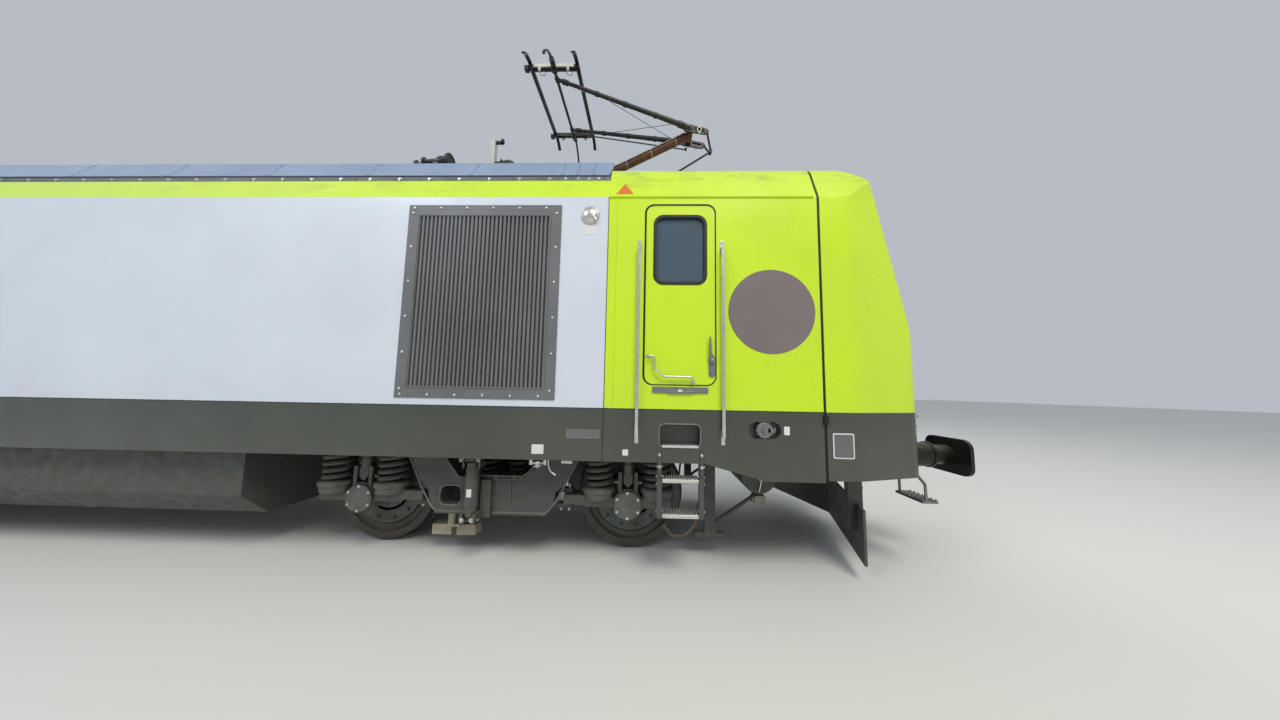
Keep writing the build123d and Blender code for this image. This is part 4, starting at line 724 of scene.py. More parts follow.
def round_flap(mesh):
    add_turned(mesh, FLAP_AT, OUT, (
        (0, 0.088), (0.010, 0.088), (0.016, 0.082), (0.016, 0.070), (0.024, 0.060), (0.034, 0.040), (0.038, 0)
    ), sides=40)
    add_tube(mesh, bent(((FLAP_AT[0] - 0.015, SKIN - 0.024, FLAP_AT[2] + 0.020),
                         (FLAP_AT[0] + 0.030, SKIN - 0.030, FLAP_AT[2] - 0.010),
                         (FLAP_AT[0] + 0.060, SKIN - 0.026, FLAP_AT[2] - 0.060)), 0.03), 0.014, sides=14)


piece("round_flaps", round_flap, STAINLESS, "carbody", FOUR, edge=0.002)


def rounded_plate(x, z, thick):
    """Draws a thin plate with round corners on the body's side."""
    return lambda mesh: add_plate(mesh, rounded(x, z, 0.008, 4), (SKIN - thick, SKIN))


BLANK_PLATES = (
    # name, x, z, thickness
    ("flap_plates", (6.152, 6.266), (3.179, 3.286), 0.0016),
    ("filler_plates", (8.000, 8.050), (1.333, 1.408), 0.0016),
    ("jacking_plates", (5.741, 5.851), (1.120, 1.205), 0.0016),
    ("ladder_plates", (6.564, 6.616), (1.124, 1.178), 0.0016),
    ("sill_labels", (7.055, 7.097), (1.700, 1.720), 0.0196),
)
for name, x, z, thick in BLANK_PLATES:
    piece(name, rounded_plate(x, z, thick), PLATE_WHITE, "carbody", FOUR)
piece("sill_slates", rounded_plate((6.048, 6.358), (1.262, 1.350), 0.004), PLATE_SLATE, "carbody",
      FOUR, edge=0.001)


def apron_panel(mesh):
    add_plate(mesh, rounded((8.425, 8.610), (1.138, 1.359), 0.012, 4), (SKIN - 0.0016, SKIN + 0.004))


def apron_panel_field(mesh):
    add_plate(mesh, rounded((8.436, 8.599), (1.149, 1.348), 0.010, 4), (SKIN - 0.0024, SKIN))


piece("apron_plate_borders", apron_panel, PLATE_WHITE, "carbody", FOUR)
piece("apron_plate_fields", apron_panel_field, PLATE_SLATE, "carbody", FOUR)


def seam_box(mesh):
    """The small box on the seam's foot, with its two screws."""
    add_block(mesh, (8.347, 8.387), (SKIN - 0.022, SKIN + 0.006), (1.432, 1.512))
    for z in (1.446, 1.498):
        add_bolt(mesh, (8.367, SKIN - 0.021, z), OUT, 0.006)


piece("seam_boxes", seam_box, RUBBER, "carbody", FOUR, edge=0.004)


def edge_plate(mesh):
    """A blank three-cornered plate on the sloping roof edge."""
    half, tall, lean, foot = 0.086, 0.138, 0.403, 3.600
    corners = ((-half, 0), (half, 0), (0, tall))
    loops = [[
        mesh.verts.new((6.533 + x, -(SIDE - lean * (foot + z - LEDGE_Z)) - lift, foot + z + lift * lean))
        for x, z in corners
    ] for lift in (0.002, 0.0)]
    mesh.faces.new(loops[0])
    for k in range(3):
        mesh.faces.new([loops[0][(k + 1) % 3], loops[0][k], loops[1][k], loops[1][(k + 1) % 3]])


piece("roof_edge_plates", edge_plate, PLATE_ORANGE, "carbody", FOUR)

# Steps: the recess in the sill, the ladder's treads and their bolted tabs
RECESS_X = (6.894, 7.260)
RECESS_Z = (1.210, 1.409)
TREAD_X = (6.926, 7.244)
TREADS_Z = (0.608, 0.908)
TREAD_HALF = 0.016
TREAD_DEPTH = 0.142


def recess_rim(mesh):
    add_rim(mesh, RECESS_X, RECESS_Z, (0.007, 0.052), (-0.003, 0.042), (SKIN - 0.003, SKIN + 0.030))


def tread_lips(mesh):
    """The bright nosing of each tread and of the recess floor."""
    for z in TREADS_Z:
        add_block(mesh, TREAD_X, (SKIN - 0.006, SKIN + 0.016), (z - 0.012, z + TREAD_HALF + 0.004))
    add_block(mesh, (RECESS_X[0] + 0.024, RECESS_X[1] - 0.016), (SKIN - 0.010, SKIN + 0.020), (1.202, 1.222))


def tread_teeth(mesh):
    """Three rows of upturned teeth that keep a boot from slipping, on each tread and the recess floor."""
    for z, back in [(z + TREAD_HALF, TREAD_DEPTH) for z in TREADS_Z] + [(1.212, 0.100)]:
        for k in range(13):
            x = TREAD_X[0] + 0.012 + 0.0245 * k
            for row in (0.022, 0.5 * back, back - 0.016):
                add_bar(mesh, (x, SKIN + row, z - 0.004), (x, SKIN + row, z + 0.012), 0.0085, 0.0050, sides=8)


def ladder_bolts(mesh):
    for x in (RECESS_X[0] + 0.003, RECESS_X[1] + 0.012):
        for z in (1.035, 1.140):
            add_bolt(mesh, (x, SKIN - 0.012, z), OUT, 0.010)
        for z in (0.645, 0.880, 0.945, 1.030):
            for side in (-1, 1):
                add_bolt(mesh, (x + side * 0.022, SKIN + 0.030, z), (side, 0, 0), 0.008)


piece("step_recess_rims", recess_rim, CAST_GREY, "carbody", FOUR, edge=0.002)
piece("tread_nosings", tread_lips, BRIGHT_ALLOY, "carbody", FOUR, edge=0.003)
piece("tread_teeth", tread_teeth, BRIGHT_ZINC, "carbody", FOUR)
piece("ladder_bolts", ladder_bolts, BRIGHT_ZINC, "carbody", FOUR)

# Fuel filler in its slot
CAP_X, CAP_Z = 7.8305, 1.371
CAP_R = 0.070


def filler_cap(mesh):
    """The screwed cap with its raised grip, and the sprung latch beside it."""
    add_turned(mesh, (CAP_X, SKIN, CAP_Z), OUT, (
        (-0.050, CAP_R + 0.004), (-0.006, CAP_R + 0.004), (0.004, CAP_R - 0.002), (0.006, CAP_R - 0.010),
        (0.004, CAP_R - 0.018), (0.004, 0.030), (0.014, 0.026), (0.016, 0)
    ), sides=48)
    for at in around((CAP_X, SKIN + 0.040, CAP_Z), CAP_R + 0.004, 12):
        add_bar(mesh, at, (at.x, SKIN + 0.002, at.z), 0.006, sides=8)
    add_block(mesh, about(CAP_X, 0.012), (SKIN - 0.024, SKIN), about(CAP_Z, 0.032))
    add_block(mesh, (CAP_X + 0.028, CAP_X + 0.096), (SKIN - 0.004, SKIN + 0.014), about(CAP_Z, 0.020))
    add_bar(mesh, (CAP_X + 0.080, SKIN, CAP_Z - 0.026), (CAP_X + 0.080, SKIN, CAP_Z + 0.026), 0.007, sides=12)


def filler_rim(mesh):
    add_rim(mesh, (7.688, 7.973), (1.294, 1.448), (0.005, 0.082), (-0.002, 0.074), (SKIN - 0.0025, SKIN + 0.020), 12)


piece("filler_caps", filler_cap, CAST_GREY, "carbody", FOUR, edge=0.002)
piece("filler_rims", filler_rim, SILL, "carbody", FOUR, edge=0.002)

# Fittings under the sill: damper arches, a valve with its pipe, drain rods
DAMPER_X = PIVOT - 0.154
DAMPER_Y = -1.275


def damper_arch(mesh):
    """The cast arch on the body that the long damper reaches up to."""
    half, foot, top = 0.103, 0.996, 1.075
    edge = ((half, top), (half, foot), (0.070, foot), (0.062, foot + 0.028), (0.040, foot + 0.044))
    outline = [(DAMPER_X - x, z) for x, z in edge] + [(DAMPER_X + x, z) for x, z in reversed(edge)]
    add_plate(mesh, outline, (-1.352, -1.326))
    for side in (-1, 1):
        add_bolt(mesh, (DAMPER_X + side * 0.086, -1.352, foot + 0.036), OUT, 0.013)


def valve_and_pipe(mesh):
    """A cock under the sill's edge with its handle, and the pipe that turns down behind the frame."""
    y = -1.420
    add_bar(mesh, (5.700, y, 1.024), (5.853, y, 1.024), 0.014)
    cock = ((0, 0.026), (0.034, 0.026), (0.046, 0.016), (0.062, 0.012), (0.064, 0))
    add_turned(mesh, (5.776, y, 1.040), DOWN, cock, sides=20)
    for x in (5.712, 5.841):
        add_bar(mesh, (x, y, 1.072), (x, y, 1.006), 0.018, sides=6)
    add_bar(mesh, (5.748, y - 0.022, 0.992), (5.816, y - 0.030, 1.008), 0.007, sides=10)
    add_tube(mesh, bent(((5.873, y, 1.072), (5.873, y, 1.010), (5.895, y, 0.950), (5.944, y, 0.915)), 0.05), 0.008)


def drain_rod(mesh):
    add_bolt(mesh, (7.894, -1.198, 0.872), OUT, 0.018)
    add_bar(mesh, (7.894, -1.216, 0.872), (7.869, -1.216, 0.752), 0.007, sides=12)


piece("damper_arches", damper_arch, CAST_GREY, "carbody", FOUR, edge=0.004)
piece("sill_valves", valve_and_pipe, BRIGHT_ZINC, "carbody", FOUR)
piece("drain_rods", drain_rod, BRIGHT_ZINC, "carbody", FOUR)


def sill_tab(mesh):
    """A blank tab under the sill with its two bolts."""
    add_block(mesh, (6.012, 6.108), (SKIN + 0.020, SKIN + 0.050), (1.038, 1.068))
    for x in (6.032, 6.088):
        add_bolt(mesh, (x, SKIN + 0.021, 1.053), OUT, 0.008)


piece("sill_tabs", sill_tab, PLATE_WHITE, "carbody", FOUR, edge=0.004)

# Running gear, drawn at the first bogie's right side
AXLES = (OUTER_AXLE, INNER_AXLE)
SPRING_OFF = 0.290
SEAT_TOP = 0.745
SPRING_TOP = 1.030
SPRINGS_Y = -1.110
PRIMARY = (0.119, 0.026)
SECONDARY = (0.104, 0.020)
SECONDARY_AT = (0.165, -0.890)
SECONDARY_Z = (0.810, 1.334)


def add_coil(mesh, x, y, z, mean, wire, pitch):
    """A helical spring with flattened end turns between two heights, on a seat ring at each end."""
    low, high = z[0] + wire + 0.006, z[1] - wire - 0.006
    turns = max(2, round((high - low) / pitch)) + 1.5
    steps = int(turns * 22)
    path = []
    for k in range(steps + 1):
        turn = turns * k / steps
        share = min(1.0, max(0.0, (turn - 0.6) / (turns - 1.2)))
        angle = 2 * math.pi * turn
        path.append((x + mean * math.cos(angle), y + mean * math.sin(angle), low + (high - low) * share))
    add_tube(mesh, path, wire, sides=12)
    seat = ((0, mean + wire), (0.008, mean + wire), (0.010, mean + wire - 0.006), (0.010, 0))
    for foot, way in ((z[0], 1), (z[1], -1)):
        add_turned(mesh, (x, y, foot), (0, 0, way), seat)


def coils(mesh):
    for axle in AXLES:
        for side in (-1, 1):
            add_coil(mesh, axle + side * SPRING_OFF, SPRINGS_Y, (SEAT_TOP, SPRING_TOP), *PRIMARY, 0.080)
    for side in (-1, 1):
        add_coil(mesh, PIVOT + side * SECONDARY_AT[0], SECONDARY_AT[1], SECONDARY_Z, *SECONDARY, 0.066)


COVER_Y = -1.190


def axle_covers(mesh):
    for axle in AXLES:
        add_turned(mesh, (axle, COVER_Y, AXLE_Z), OUT, (
            (-0.020, 0.134), (0.004, 0.134), (0.008, 0.130), (0.008, 0.117), (0.005, 0.114), (0.005, 0.020),
            (0.009, 0.017), (0.009, 0)
        ), sides=56)


def axle_cover_bolts(mesh):
    for axle in AXLES:
        add_bolts(mesh, around((axle, COVER_Y - 0.008, AXLE_Z), 0.119, 6, start=30), OUT, 0.011)


DAMPER_PIN_Z = AXLE_Z + 0.200
CLAMP_X, CLAMP_Y = 5.964, -1.082


def clevis_pins(mesh):
    """Pins and nuts through the damper forks, and the clamp bolts of the guide arms."""
    for axle in AXLES:
        for side in (-1, 1):
            near, far = [(axle + side * off, SPRINGS_Y, DAMPER_PIN_Z) for off in (0.095, 0.135)]
            add_bar(mesh, near, far, 0.011)
            add_bolt(mesh, (axle + side * 0.098, SPRINGS_Y, DAMPER_PIN_Z), (side, 0, 0), 0.019)
    for x in (CLAMP_X, 2 * PIVOT - CLAMP_X):
        for z, up in ((0.712, 1), (0.518, -1)):
            for off in (-0.040, 0.040):
                add_bolt(mesh, (x + off, CLAMP_Y, z), (0, 0, up), 0.019)
                add_bar(mesh, (x + off, CLAMP_Y, z), (x + off, CLAMP_Y, z + up * 0.034), 0.009, sides=12)
    for off in (-0.046, 0.046):
        add_bolt(mesh, (DAMPER_X + off, -1.345, 0.462), OUT, 0.016)
        add_bar(mesh, (DAMPER_X + off * 1.5, -1.300, 0.452), (DAMPER_X + off * 2.1, -1.300, 0.452), 0.010)


def damper_tubes(mesh):
    """The long damper's dust tube, cap, eyes and cast lugs, and the short dampers' dust tubes."""
    add_turned(mesh, (DAMPER_X, DAMPER_Y, 0.560), UP, (
        (0, 0.0585), (0.006, 0.063), (0.372, 0.063), (0.384, 0.058), (0.392, 0.045), (0.400, 0.024), (0.424, 0.022),
        (0.424, 0)
    ), sides=40)
    add_turned(mesh, (DAMPER_X, DAMPER_Y, 0.552), UP, ((0, 0.050), (0.008, 0.050)))
    for side in (-1, 1):
        foot = rounded(about(DAMPER_X + side * 0.062, 0.016), (0.424, 0.512), 0.014, 4)
        add_plate(mesh, foot, (-1.345, -1.205))
        head = rounded(about(DAMPER_X + side * 0.078, 0.011), (0.930, 0.989), 0.010, 4)
        add_plate(mesh, head, (-1.320, -1.225))
    add_bar(mesh, (DAMPER_X - 0.092, DAMPER_Y, 0.962), (DAMPER_X + 0.092, DAMPER_Y, 0.962), 0.013)
    for axle in AXLES:
        add_turned(mesh, (axle, SPRINGS_Y, 0.842), UP, ((0, 0.051), (0.006, 0.056), (0.120, 0.056), (0.126, 0.051)))


def damper_label(mesh):
    """A blank label wrapped on the long damper."""
    radius = 0.0638
    turns = [math.radians(degrees) for degrees in range(-22, 23, 4)]
    rows = [
        [mesh.verts.new((DAMPER_X + radius * math.sin(turn), DAMPER_Y - radius * math.cos(turn), z)) for turn in turns]
        for z in (0.668, 0.742)
    ]
    for k in range(len(rows[0]) - 1):
        mesh.faces.new([rows[0][k], rows[0][k + 1], rows[1][k + 1], rows[1][k]])


def frame_fittings(mesh):
    """Two pipes along the side beam with their clips, and the beam's stiffeners."""
    y = -1.212
    upper = ((5.020, y, 0.838), (5.560, y, 0.838), (5.640, y, 0.900), (5.700, y, 1.010), (5.900, y, 1.030))
    lower = ((5.200, y, 0.812), (5.530, y, 0.812), (5.660, y, 0.890), (5.735, y, 0.990))
    add_tube(mesh, bent(upper, 0.06), 0.012)
    add_tube(mesh, bent(lower, 0.06), 0.008)
    for x in (5.300, 5.480):
        add_block(mesh, about(x, 0.014), (-1.222, -1.195), (0.796, 0.852))
    for x in (5.060, 5.270, 5.440):
        add_block(mesh, about(x, 0.010), (-1.208, -1.198), (0.545, 0.790))


def frame_flanges(mesh):
    """The bottom flange of the side beam, standing out a little past its web."""
    add_block(mesh, about(PIVOT, 0.560), (-1.214, -1.010), (0.468, 0.488))


BEAM_FACE = -1.200
BEAM_EDGES = (
    # the side beam's lower and upper edges as x from the pivot and z
    ((-1.860, 1.038), (-0.870, 1.038), (-0.700, 0.700), (-0.615, 0.560), (-0.555, 0.488), (0.555, 0.488),
     (0.615, 0.560), (0.700, 0.700), (0.870, 1.038), (1.860, 1.038)),
    ((-0.560, 1.142), (-0.458, 0.968), (-0.335, 0.812), (-0.110, 0.812)),
    ((0.030, 0.812), (0.335, 0.812), (0.458, 0.968), (0.560, 1.142)),
)


def beam_edges(mesh):
    """Rolled weld edges along the side beam and round its window, drawn lighter than the plates."""
    for run in BEAM_EDGES:
        add_tube(mesh, bent([(PIVOT + x, BEAM_FACE, z) for x, z in run], 0.07), 0.009, sides=8)
    window = rounded((PIVOT - 0.516, PIVOT - 0.294), (0.544, 0.736), 0.066, 6)
    add_tube(mesh, [(x, BEAM_FACE, z) for x, z in window + window[:1]], 0.008, sides=8)


def seat_collars(mesh):
    """Flared collars on the spring seats and the castings that carry them."""
    for axle in AXLES:
        for side in (-1, 1):
            add_turned(mesh, (axle + side * SPRING_OFF, SPRINGS_Y, 0.640), UP, (
                (-0.018, 0.110), (0, 0.150), (0.054, 0.153), (0.062, 0.168), (0.092, 0.170), (0.100, 0.160),
                (0.108, 0.155), (0.108, 0.120)
            ), sides=48)


def sand_pipe(mesh):
    y = -0.940
    run = ((6.985, 0.290), (7.055, 0.200), (7.190, 0.215), (7.300, 0.330), (7.318, 0.520), (7.405, 0.585))
    add_tube(mesh, bent([(x, y, z) for x, z in run], 0.09), 0.017, sides=14)
    add_bar(mesh, (6.960, y, 0.322), (6.990, y, 0.284), 0.024, 0.020)
    add_block(mesh, (7.372, 7.396), (-0.975, -0.925), (0.560, 0.610))


def antenna_strut(mesh):
    """The strut ahead of the rail guard."""
    y = -0.950
    add_bar(mesh, (7.500, y, 0.360), (7.905, y, 0.640), 0.022, 0.018)
    add_block(mesh, (7.470, 7.520), about(y, 0.030), (0.250, 0.372))


def antenna_box(mesh):
    add_plate(mesh, rounded((7.893, 8.004), (0.562, 0.650), 0.012, 4), (-1.010, -0.880))
    add_block(mesh, (7.872, 7.893), (-0.990, -0.905), (0.574, 0.630))


WHEEL_FACE = -0.800


def wheel_bolts(mesh):
    """Brake disc bolts round a wheel's outer face, and twelve plugs round its hub."""
    add_bolts(mesh, around((OUTER_AXLE, WHEEL_FACE - 0.006, AXLE_Z), 0.335, 12, start=15), OUT, 0.015)
    for at in around((OUTER_AXLE, WHEEL_FACE, AXLE_Z), 0.190, 12):
        add_bar(mesh, at, (at.x, WHEEL_FACE - 0.012, at.z), 0.020, 0.017, sides=14)


def wheel_rings(mesh):
    """The web's dished face between rim and brake disc, with its machined lip."""
    add_turned(mesh, (OUTER_AXLE, WHEEL_FACE + 0.030, AXLE_Z), OUT, (
        (0, 0.469), (0.036, 0.469), (0.040, 0.464), (0.036, 0.456), (0.026, 0.450), (0.022, 0.430), (0.024, 0.400),
        (0, 0.396)
    ), sides=72)


def disc_faces(mesh):
    """The brake disc's rubbed face with its chamfers and the hub ring inside it."""
    add_turned(mesh, (OUTER_AXLE, WHEEL_FACE + 0.010, AXLE_Z), OUT, (
        (0, 0.390), (0.012, 0.390), (0.016, 0.386), (0.016, 0.262), (0.010, 0.254), (0.010, 0.228), (0.018, 0.222),
        (0.018, 0.150), (0, 0.150)
    ), sides=72)


BOGIE_PIECES = (
    # name, drawing, material, slot, edge
    ("axle_covers", axle_covers, COVER, "axle_box_casting", 0.0),
    ("axle_cover_bolts", axle_cover_bolts, BRIGHT_ZINC, "rail_stainless", 0.0),
    ("clevis_pins", clevis_pins, BRIGHT_ZINC, "rail_stainless", 0.0),
    ("damper_tubes", damper_tubes, DAMPER, "damper_enamel", 0.0),
    ("damper_labels", damper_label, PLATE_WHITE, "white_enamel", 0.0),
    ("frame_fittings", frame_fittings, CASTING, "underframe_enamel", 0.003),
    ("beam_edges", beam_edges, PALE_EDGE, "underframe_enamel", 0.0),
    ("seat_collars", seat_collars, COVER, "axle_box_casting", 0.0),
    ("frame_flanges", frame_flanges, UNDER, "underframe_enamel", 0.003),
    ("sand_pipes", sand_pipe, WORN_PIPE, "underframe_enamel", 0.0),
    ("antenna_struts", antenna_strut, UNDER, "underframe_enamel", 0.0),
    ("antenna_boxes", antenna_box, PLATE_GREY, "magnet_plastic", 0.003),
)
for letter, place in ENDS:
    body = f"bogie_{letter}"
    springs = piece(f"coil_springs_{letter}", coils, SPRING, body, BOTH, place)
    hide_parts(f"springs_{letter}")
    for name, draw, material, slot, edge in BOGIE_PIECES:
        piece(f"{name}_{letter}", draw, material, body, BOTH, place, edge)

for number, centre in enumerate((OUTER_AXLE, INNER_AXLE, -INNER_AXLE, -OUTER_AXLE), 1):
    for name, draw, material in (
        ("bolts", wheel_bolts, SPRING), ("rings", wheel_rings, WHEEL), ("discs", disc_faces, RUBBED_DISC)
    ):
        def at_axle(mesh, draw=draw, centre=centre):
            draw(mesh)
            bmesh.ops.translate(mesh, vec=(centre - OUTER_AXLE, 0, 0), verts=mesh.verts[:])
        piece(f"wheelset_{number}_{name}", at_axle, material, f"wheelset_{number}", BOTH)

# Roof edge: bolts and sheet joints of the fairing, ledge bolts and hatch fastenings
DECK_SIDE = -(SIDE - 0.116)
DECK_TOP = BOXES["roof_deck"][1].z
FAIRING_FOOT = (-(SIDE - 0.108), DECK_TOP + 0.012)
FAIRING_TOP = (-(SIDE - 0.251), DECK_TOP + 0.250)
HATCHES = (
    # low x, high x, half width, height over the deck
    (2.900, 4.800, 1.045, 0.110), (0.050, 2.650, 1.120, 0.150),
    (-2.750, -0.250, 1.120, 0.150), (-6.250, -5.350, 0.950, 0.120),
)


def deck_bolts(mesh):
    stations = spaced(0.16, 5.76, 0.320) + [5.92, 6.05, 6.16, 6.26]
    for x in stations:
        for end in (-1, 1):
            add_bolt(mesh, (end * x, DECK_SIDE, DECK_TOP - 0.026), OUT, 0.013)


def fairing_joints(mesh):
    """Cover strips over the joints of the fairing's sheets, each with its row of rivets."""
    out = Vector((0, FAIRING_FOOT[1] - FAIRING_TOP[1], FAIRING_FOOT[0] - FAIRING_TOP[0])).normalized()
    up = Vector((0, FAIRING_TOP[0] - FAIRING_FOOT[0], FAIRING_TOP[1] - FAIRING_FOOT[1]))
    foot = Vector((0, *FAIRING_FOOT))
    for x in (0.62, 1.70, 2.78, 3.86, 4.94, 5.88, 6.04, 6.20):
        wide = 0.022 if x < 5.8 else 0.012
        for end in (-1, 1):
            corners = []
            for lift in (0.004, -0.002):
                for share in (0.04, 0.97):
                    for side in (-1, 1):
                        corners.append(mesh.verts.new(
                            foot + up * share + out * lift + Vector((end * x + side * wide, 0, 0))
                        ))
            for face in ((0, 1, 3, 2), (4, 6, 7, 5), (0, 4, 5, 1), (2, 3, 7, 6), (0, 2, 6, 4), (1, 5, 7, 3)):
                mesh.faces.new([corners[k] for k in face])
            for share in (0.14, 0.34, 0.54, 0.74, 0.90):
                add_rivet(mesh, foot + up * share + out * 0.004 + Vector((end * x, 0, 0)), out, 0.007)


piece("deck_bolts", deck_bolts, BRIGHT_ZINC, "carbody", BOTH)
piece("fairing_joints", fairing_joints, FAIRING, "carbody", BOTH)


def hatch_bolts(mesh):
    for low, high, half, rise in HATCHES:
        top = DECK_TOP + rise
        for x in spaced(low + 0.06, high - 0.06, 0.26):
            add_bolt(mesh, (x, -(half - 0.060), top), UP, 0.012)
        for x in (low + 0.060, high - 0.060):
            for y in spaced(-(half - 0.060), 0, 0.26)[1:]:
                add_bolt(mesh, (x, y, top), UP, 0.012)


def lifting_eyes(mesh):
    for low, high, half, rise in HATCHES:
        for x in (low + 0.18, high - 0.18):
            at = Vector((x, -(half - 0.170), DECK_TOP + rise))
            add_turned(mesh, at, UP, ((0, 0.030), (0.008, 0.030), (0.012, 0.014), (0.022, 0.012)), sides=20)
            ring = around(at + Vector((0, 0, 0.046)), 0.026, 24)
            add_tube(mesh, ring + ring[:1], 0.008, sides=8)


def hatch_ribs(mesh):
    """Pressed stiffening ribs along the hatches."""
    profile = ((0, 0.004), (0.03, 0.014), (0.42, 0.014), (0.45, 0.004))
    for low, high, half, rise in HATCHES:
        top = DECK_TOP + rise
        for y in (-0.30 * half, -0.62 * half):
            for x in spaced(low + 0.30, high - 0.30, 0.62):
                if x + 0.4 > high - 0.2:
                    break
                add_turned(mesh, (x, y, top), AHEAD, profile, sides=12)


piece("hatch_bolts", hatch_bolts, BRIGHT_ZINC, "carbody", BOTH)
piece("lifting_eyes", lifting_eyes, BRIGHT_ZINC, "carbody", BOTH)
piece("hatch_ribs", hatch_ribs, ROOF, "carbody", BOTH)

FANS = ((-4.750, 0.550), (-3.500, 0.550))
FAN_FLOOR = DECK_TOP + 0.130


def fan_blades(mesh):
    """Nine twisted blades round a domed hub, under the spokes of each ring."""
    for x, y in FANS:
        for k in range(9):
            turn = 2 * math.pi * k / 9
            rows = []
            for share in (0.0, 0.25, 0.5, 0.75, 1.0):
                radius = 0.115 + 0.330 * share
                half = 0.055 + 0.030 * share
                tilt = 0.017 * (1 - 0.3 * share)
                row = []
                for side, lift in ((-1, 1), (-0.3, 0.55), (0.4, -0.1), (1, -1)):
                    angle = turn + side * half / radius + 0.25 * share
                    row.append(mesh.verts.new((
                        x + radius * math.cos(angle), -y + radius * math.sin(angle), FAN_FLOOR + 0.026 + lift * tilt
                    )))
                rows.append(row)
            for low, high in zip(rows, rows[1:]):
                for j in range(3):
                    mesh.faces.new([low[j], low[j + 1], high[j + 1], high[j]])


def fan_guards(mesh):
    """Wire rings over each fan, with a domed cap on the hub."""
    for x, y in FANS:
        for radius in (0.18, 0.25, 0.32, 0.39, 0.445):
            ring = around((x, -y, FAN_FLOOR + 0.062), radius, 48, axes=LEVEL)
            add_tube(mesh, ring + ring[:1], 0.004, sides=6)
        add_turned(mesh, (x, -y, FAN_FLOOR + 0.055), UP, ((0, 0.104), (0.012, 0.100), (0.024, 0.070), (0.030, 0)))
        add_bolts(mesh, around((x, -y, FAN_FLOOR + 0.060), 0.49, 12, 15, LEVEL), UP, 0.010)


blades = piece("fan_blades", fan_blades, DULL_ZINC, "carbody", BOTH)
thick = blades.modifiers.new("thickness", "SOLIDIFY")
thick.thickness = 0.004
piece("fan_guards", fan_guards, BRIGHT_ZINC, "carbody", BOTH)


def roof_dome(mesh):
    """The low dome that shows over the fairing's top beside the pantograph."""
    add_turned(mesh, (5.605, -0.560, 3.990), UP, (
        (0, 0.100), (0.010, 0.100), (0.014, 0.060), (0.170, 0.055), (0.182, 0.082), (0.236, 0.088), (0.262, 0.066),
        (0.272, 0.030), (0.274, 0)
    ), sides=36)


piece("roof_domes", roof_dome, POST, "carbody")

# Horns and earthing post
HORN_AT = ((4.445, -0.980, 4.325), (4.280, -0.880, 4.365))
HORN_LONG = 0.330


def horn_trim(mesh):
    """The rolled lip, the dark throat and the driver cap at the back of each horn."""
    for at in HORN_AT:
        back = (at[0] - HORN_LONG, at[1], at[2])
        add_turned(mesh, at, AHEAD, (
            (-0.030, 0.082), (-0.006, 0.090), (0.001, 0.091), (0.004, 0.087), (0.001, 0.080), (-0.014, 0.052),
            (-0.040, 0.030), (-0.060, 0)
        ), sides=40)
        add_turned(mesh, back, AHEAD, (
            (0, 0), (0, 0.042), (0.010, 0.048), (0.030, 0.048), (0.038, 0.034), (0.060, 0.024), (0.062, 0)
        ), sides=28)
        add_bolts(mesh, around(back, 0.038, 6, axes=END_VIEW), (-1, 0, 0), 0.004)


def post_trim(mesh):
    """Black sleeves on the two hooks of the earthing post."""
    for z in (4.350, 4.610):
        add_block(mesh, (4.930, 5.019), (-0.9155, -0.8845), (z - 0.0025, z + 0.0285))
        add_block(mesh, (4.9895, 5.0205), (-0.9155, -0.8845), (z - 0.0025, z + 0.0545))


def post_foot(mesh):
    add_block(mesh, (4.835, 4.966), (-0.965, -0.835), (DECK_TOP, DECK_TOP + 0.122))
    for x in (4.852, 4.949):
        for y in (-0.948, -0.852):
            add_bolt(mesh, (x, y, DECK_TOP + 0.122), UP, 0.010)


piece("horn_trims", horn_trim, HORN, "carbody")
piece("hook_sleeves", post_trim, RUBBER, "carbody", edge=0.004)
piece("post_foot", post_foot, POST, "carbody", edge=0.003)

# Pantograph
LOWER_LENGTH, LOWER_ANGLE = 2.053, math.radians(26.9)
UPPER_LENGTH, UPPER_ANGLE = 1.918, math.radians(165.63)


def arm_end(start, length, angle):
    """The far end of an arm, in the middle plane, from its near end."""
    return Vector((start.x + length * math.cos(angle), 0, start.z + length * math.sin(angle)))


PAN_BASE = Vector(JOINTS["lower_arm_swing"]["pos_m"])
KNEE = arm_end(PAN_BASE, LOWER_LENGTH, LOWER_ANGLE)
HEAD = arm_end(KNEE, UPPER_LENGTH, UPPER_ANGLE)
STRIP_X = 0.312
LINK_SIDE = -0.595
CHEEK_MID = -0.136
LEG_END = -0.430


def add_link_block(mesh, x, y, z):
    """A block whose stations are counted from the head's axis and the link's line."""
    add_block(mesh, [HEAD.x + off for off in x], [LINK_SIDE + off for off in y], [HEAD.z + off for off in z])


def link_covers(mesh):
    """The pale spring boxes on the head's links, between the contact strips."""
    add_link_block(mesh, (-0.268, 0.268), (-0.012, 0.020), (0.004, 0.046))
    for x in (-0.19, 0.19):
        add_turned(mesh, (HEAD.x + x, LINK_SIDE - 0.002, HEAD.z - 0.006), DOWN, (
            (0, 0.020), (0.022, 0.020), (0.028, 0.014), (0.040, 0.012), (0.042, 0)
        ), sides=20)


def link_ends(mesh):
    """Black clamp blocks at the links' ends and dark brackets that hold the long horns."""
    add_link_block(mesh, (-0.392, -0.336), (-0.010, 0.050), (-0.024, 0.034))
    add_link_block(mesh, (-0.340, -0.280), (0.006, 0.036), (-0.006, 0.018))
    for x in (-STRIP_X, STRIP_X):
        add_link_block(mesh, about(x, 0.030), (-0.008, 0.058), (0.012, 0.030))
    start, end = [(x, LINK_SIDE + 0.025, HEAD.z - 0.016) for x in about(HEAD.x, 0.30)]
    add_bar(mesh, start, end, 0.010)


